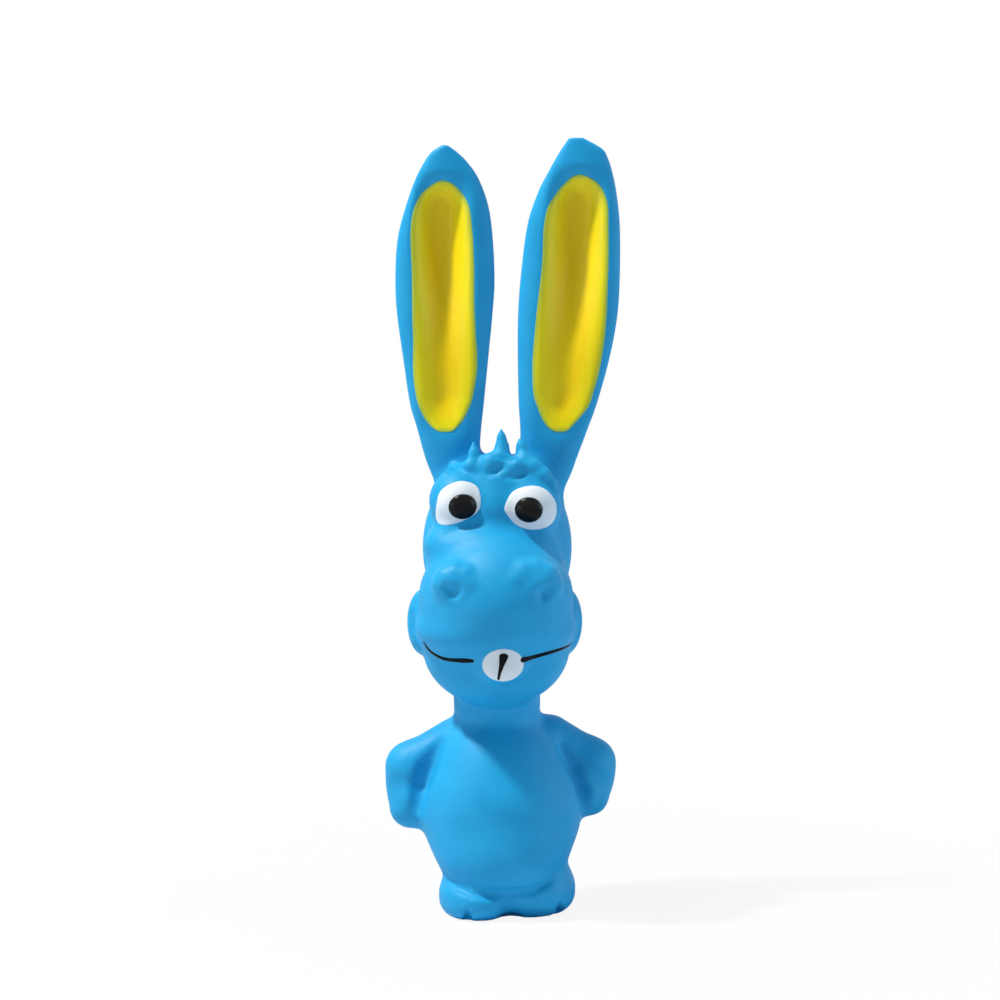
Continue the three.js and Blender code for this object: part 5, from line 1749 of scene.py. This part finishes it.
@dataclass
class Studio:
    """A pale floor, soft lights and the camera at the photograph's angle."""

    azimuth: float = -3.0
    elevation: float = 6.0
    distance: float = 0.705
    aim: Vec3 = (-0.00085, 0.0, 0.0888)
    lens: float = 120.0
    sensor: float = 36.0
    clip: tuple[float, float] = (0.01, 20.0)
    lit_middle: Vec3 = (0, 0, 0.09)
    lamps: tuple[tuple[str, Vec3, float, float, Vec3], ...] = (
        ("key", (-0.527, -0.115, 1.048), 0.08, 15.8, (1, 0.955, 0.86)),
        ("side", (-0.85, -0.45, 0.16), 0.3, 1.4, (0.85, 0.95, 1)),
        ("fill", (0.9, -0.15, 0.25), 0.6, 3.2, (0.7, 0.9, 1)),
    )
    white: Vec3 = (1, 1, 1)
    sky_tint: Vec3 = (0.6, 0.8, 1)
    sky_strength: float = 0.21
    floor_tint: Vec3 = (0.68, 0.73, 0.8)
    floor_reach: float = 4.0
    floor_near: float = 0.05
    floor_far: float = 0.16
    floor_lift: float = 0.9
    floor_rough: float = 0.9
    floor_shine: float = 0.1

    def build(self) -> None:
        """Makes the camera, the lights, the world and the floor."""
        self.camera()
        for lamp in self.lamps:
            self.lamp(*lamp)
        self.world()
        self.floor()

    def camera(self) -> None:
        """The camera, turned round the aim."""
        data = bpy.data.cameras.new("camera")
        data.lens = self.lens
        data.sensor_width = self.sensor
        data.clip_start, data.clip_end = self.clip
        made = bpy.data.objects.new("camera", data)
        turn, rise = math.radians(self.azimuth), math.radians(self.elevation)
        made.location = (
            self.aim[0] + self.distance * math.sin(turn) * math.cos(rise),
            self.aim[1] - self.distance * math.cos(turn) * math.cos(rise),
            self.aim[2] + self.distance * math.sin(rise),
        )
        made.rotation_euler = (math.pi / 2 - rise, 0, turn)
        bpy.context.scene.collection.objects.link(made)
        bpy.context.scene.camera = made

    def lamp(self, name: str, place: Vec3, size: float, power: float, tint: Vec3) -> None:
        """A square soft box aimed at the middle of the toy.

        Args:
            name: the lamp's name.
            place: where it stands, in metres.
            size: the length of its sides.
            power: its power in watts.
            tint: its colour.
        """
        data = bpy.data.lights.new(name, "AREA")
        data.shape = "SQUARE"
        data.size = size
        data.energy = power
        data.color = tint
        made = bpy.data.objects.new(name, data)
        made.location = place
        away = np.subtract(place, self.lit_middle)
        made.rotation_euler = (math.atan2(math.hypot(away[0], away[1]), away[2]), 0,
                               math.atan2(away[1], away[0]) + math.pi / 2)
        bpy.context.scene.collection.objects.link(made)

    def world(self) -> None:
        """An even pale sky that is white where the camera or a gloss sees it."""
        sky = bpy.data.worlds.new("studio")
        bpy.context.scene.world = sky
        sky.use_nodes = True
        tree = sky.node_tree
        tree.nodes.clear()
        out = tree.nodes.new("ShaderNodeOutputWorld")
        soft = glow(tree, "ShaderNodeBackground", self.sky_tint, self.sky_strength)
        white = glow(tree, "ShaderNodeBackground", self.white)
        rays = tree.nodes.new("ShaderNodeLightPath").outputs
        seen = reckon(tree, "MAXIMUM", rays["Is Camera Ray"], rays["Is Glossy Ray"])
        tree.links.new(mixed(tree, seen, soft, white), out.inputs["Surface"])

    def floor(self) -> None:
        """A wide pale floor: lit paint near the toy, where its shadow falls, and plain white farther off."""
        data = bpy.data.meshes.new("floor")
        reach = self.floor_reach
        corners = [(-reach, -reach, 0), (reach, -reach, 0), (reach, reach, 0), (-reach, reach, 0)]
        data.from_pydata(corners, [], [(0, 1, 2, 3)])
        made = bpy.data.objects.new("floor", data)
        bpy.context.scene.collection.objects.link(made)
        nodes = Nodes("pale_floor")
        tree = nodes.tree
        nodes.set(Roughness=self.floor_rough, Specular_IOR_Level=self.floor_shine)
        nodes.shader.inputs["Base Color"].default_value = (*self.floor_tint, 1)
        away = tree.nodes.new("ShaderNodeVectorMath")
        away.operation = "LENGTH"
        nodes.link(nodes.places, away.inputs[0])
        far = nodes.spread(away.outputs["Value"], self.floor_near, self.floor_far, self.floor_lift, 1.0)
        rays = tree.nodes.new("ShaderNodeLightPath").outputs
        seen = reckon(tree, "MULTIPLY", far, rays["Is Camera Ray"])
        whole = mixed(tree, seen, nodes.shader.outputs[0], glow(tree, "ShaderNodeEmission", self.white))
        nodes.link(whole, tree.nodes["Material Output"].inputs["Surface"])
        data.materials.append(nodes.material)


def stand_in(piece: Piece, node: str, ear: tuple[str, Vec3, Vec3] | None = None) -> None:
    """Sets a piece in place of its CAD node.

    Args:
        piece: the visible piece.
        node: the CAD node that it replaces.
        ear: the ear's body and the start and end of its bend, which are not used: given, the piece keeps its
            place in the frame; None attaches it to the body.
    """
    if ear:
        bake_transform(piece)
    else:
        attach(piece, "body")
    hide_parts(node)
    LOG.info("%s: %d faces, in place of %s", piece.name, len(piece.data.polygons), node)


@dataclass(frozen=True)
class Squeaker:
    """The squeaker in the base, whose CAD nodes aren't replaced and only get finishes of their own."""

    moulded: tuple[str, ...] = ("squeaker_barrel", "squeaker_cap", "reed_holder", "reed_clip")
    strip: str = "reed"

    def dress(self, plastic: Paint, film: Paint) -> None:
        """Gives each node its finish.

        Args:
            plastic: the finish of the moulded nodes.
            film: the reed's finish.
        """
        for name in self.moulded:
            self.finish(name, plastic)
        self.finish(self.strip, film)

    def finish(self, name: str, finish: Paint) -> None:
        """Puts a finish in every material slot of a node, or in a new one where it has none.

        Args:
            name: the CAD node.
            finish: its finish.
        """
        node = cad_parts[name]
        for slot in node.material_slots:
            slot.material = finish
        if not node.material_slots:
            node.data.materials.append(finish)
        LOG.info("%s: CAD node in %s", name, finish.name)


def main() -> None:
    """Builds the toy's sub-assemblies in order."""
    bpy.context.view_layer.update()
    barrel_low, barrel_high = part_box("squeaker_barrel")
    centre = (np.array(barrel_low) + np.array(barrel_high)) / 2 / MM
    shop = Workshop(shift=np.array((centre[0] - SQUEAKER[0], centre[1] - SQUEAKER[1], 0.0)))
    bpy.context.scene.view_settings.view_transform = "Standard"

    latex = LatexFinish().make()
    # the lining's more orange second yellow is painted shade for the middle of each trough
    yellow = BrushedFinish("lining_yellow", light=colour(238, 222, 16), deep=colour(228, 209, 6),
                           thin=colour(120, 180, 90), trough_shade=colour(242, 202, 0), relief_mm=0.012).make()
    white = BrushedFinish("paint_white", light=colour(230, 235, 242), deep=colour(222, 228, 236),
                          thin=colour(190, 215, 232), streak_mm=1.4, streak_length=2.5, relief_mm=0.02,
                          rough=(0.3, 0.44)).make()
    black = GlossFinish("paint_black", tint=colour(8, 8, 10), rough=(0.192, 0.36)).make()
    ink = GlossFinish("stroke_black", tint=colour(8, 9, 12), rough=(0.32, 0.6), shine=0.07).make()
    plastic = MouldedFinish("squeaker_white", tint=colour(240, 239, 232), rough=(0.32, 0.46)).make()
    film = MouldedFinish("reed_film", tint=colour(216, 216, 210), rough=(0.19, 0.33)).make()

    moulding = LatexMoulding(shop)
    body, left, right = moulding.build(latex)
    stand_in(body, "latex_skin")
    paint = Paintwork(shop, moulding.form)
    for piece, ear in ((left, LEFT_EAR), (right, RIGHT_EAR)):
        name = f"{ear.side.word}_ear"
        bend = (name, *moulding.bend_points(ear))
        stand_in(piece, name, bend)
        stand_in(paint.lining(ear, yellow), f"{name}_lining", bend)

    Face(paint, white, black, ink).build()
    Squeaker().dress(plastic, film)
    Studio().build()


if __name__ == "__main__":
    main()
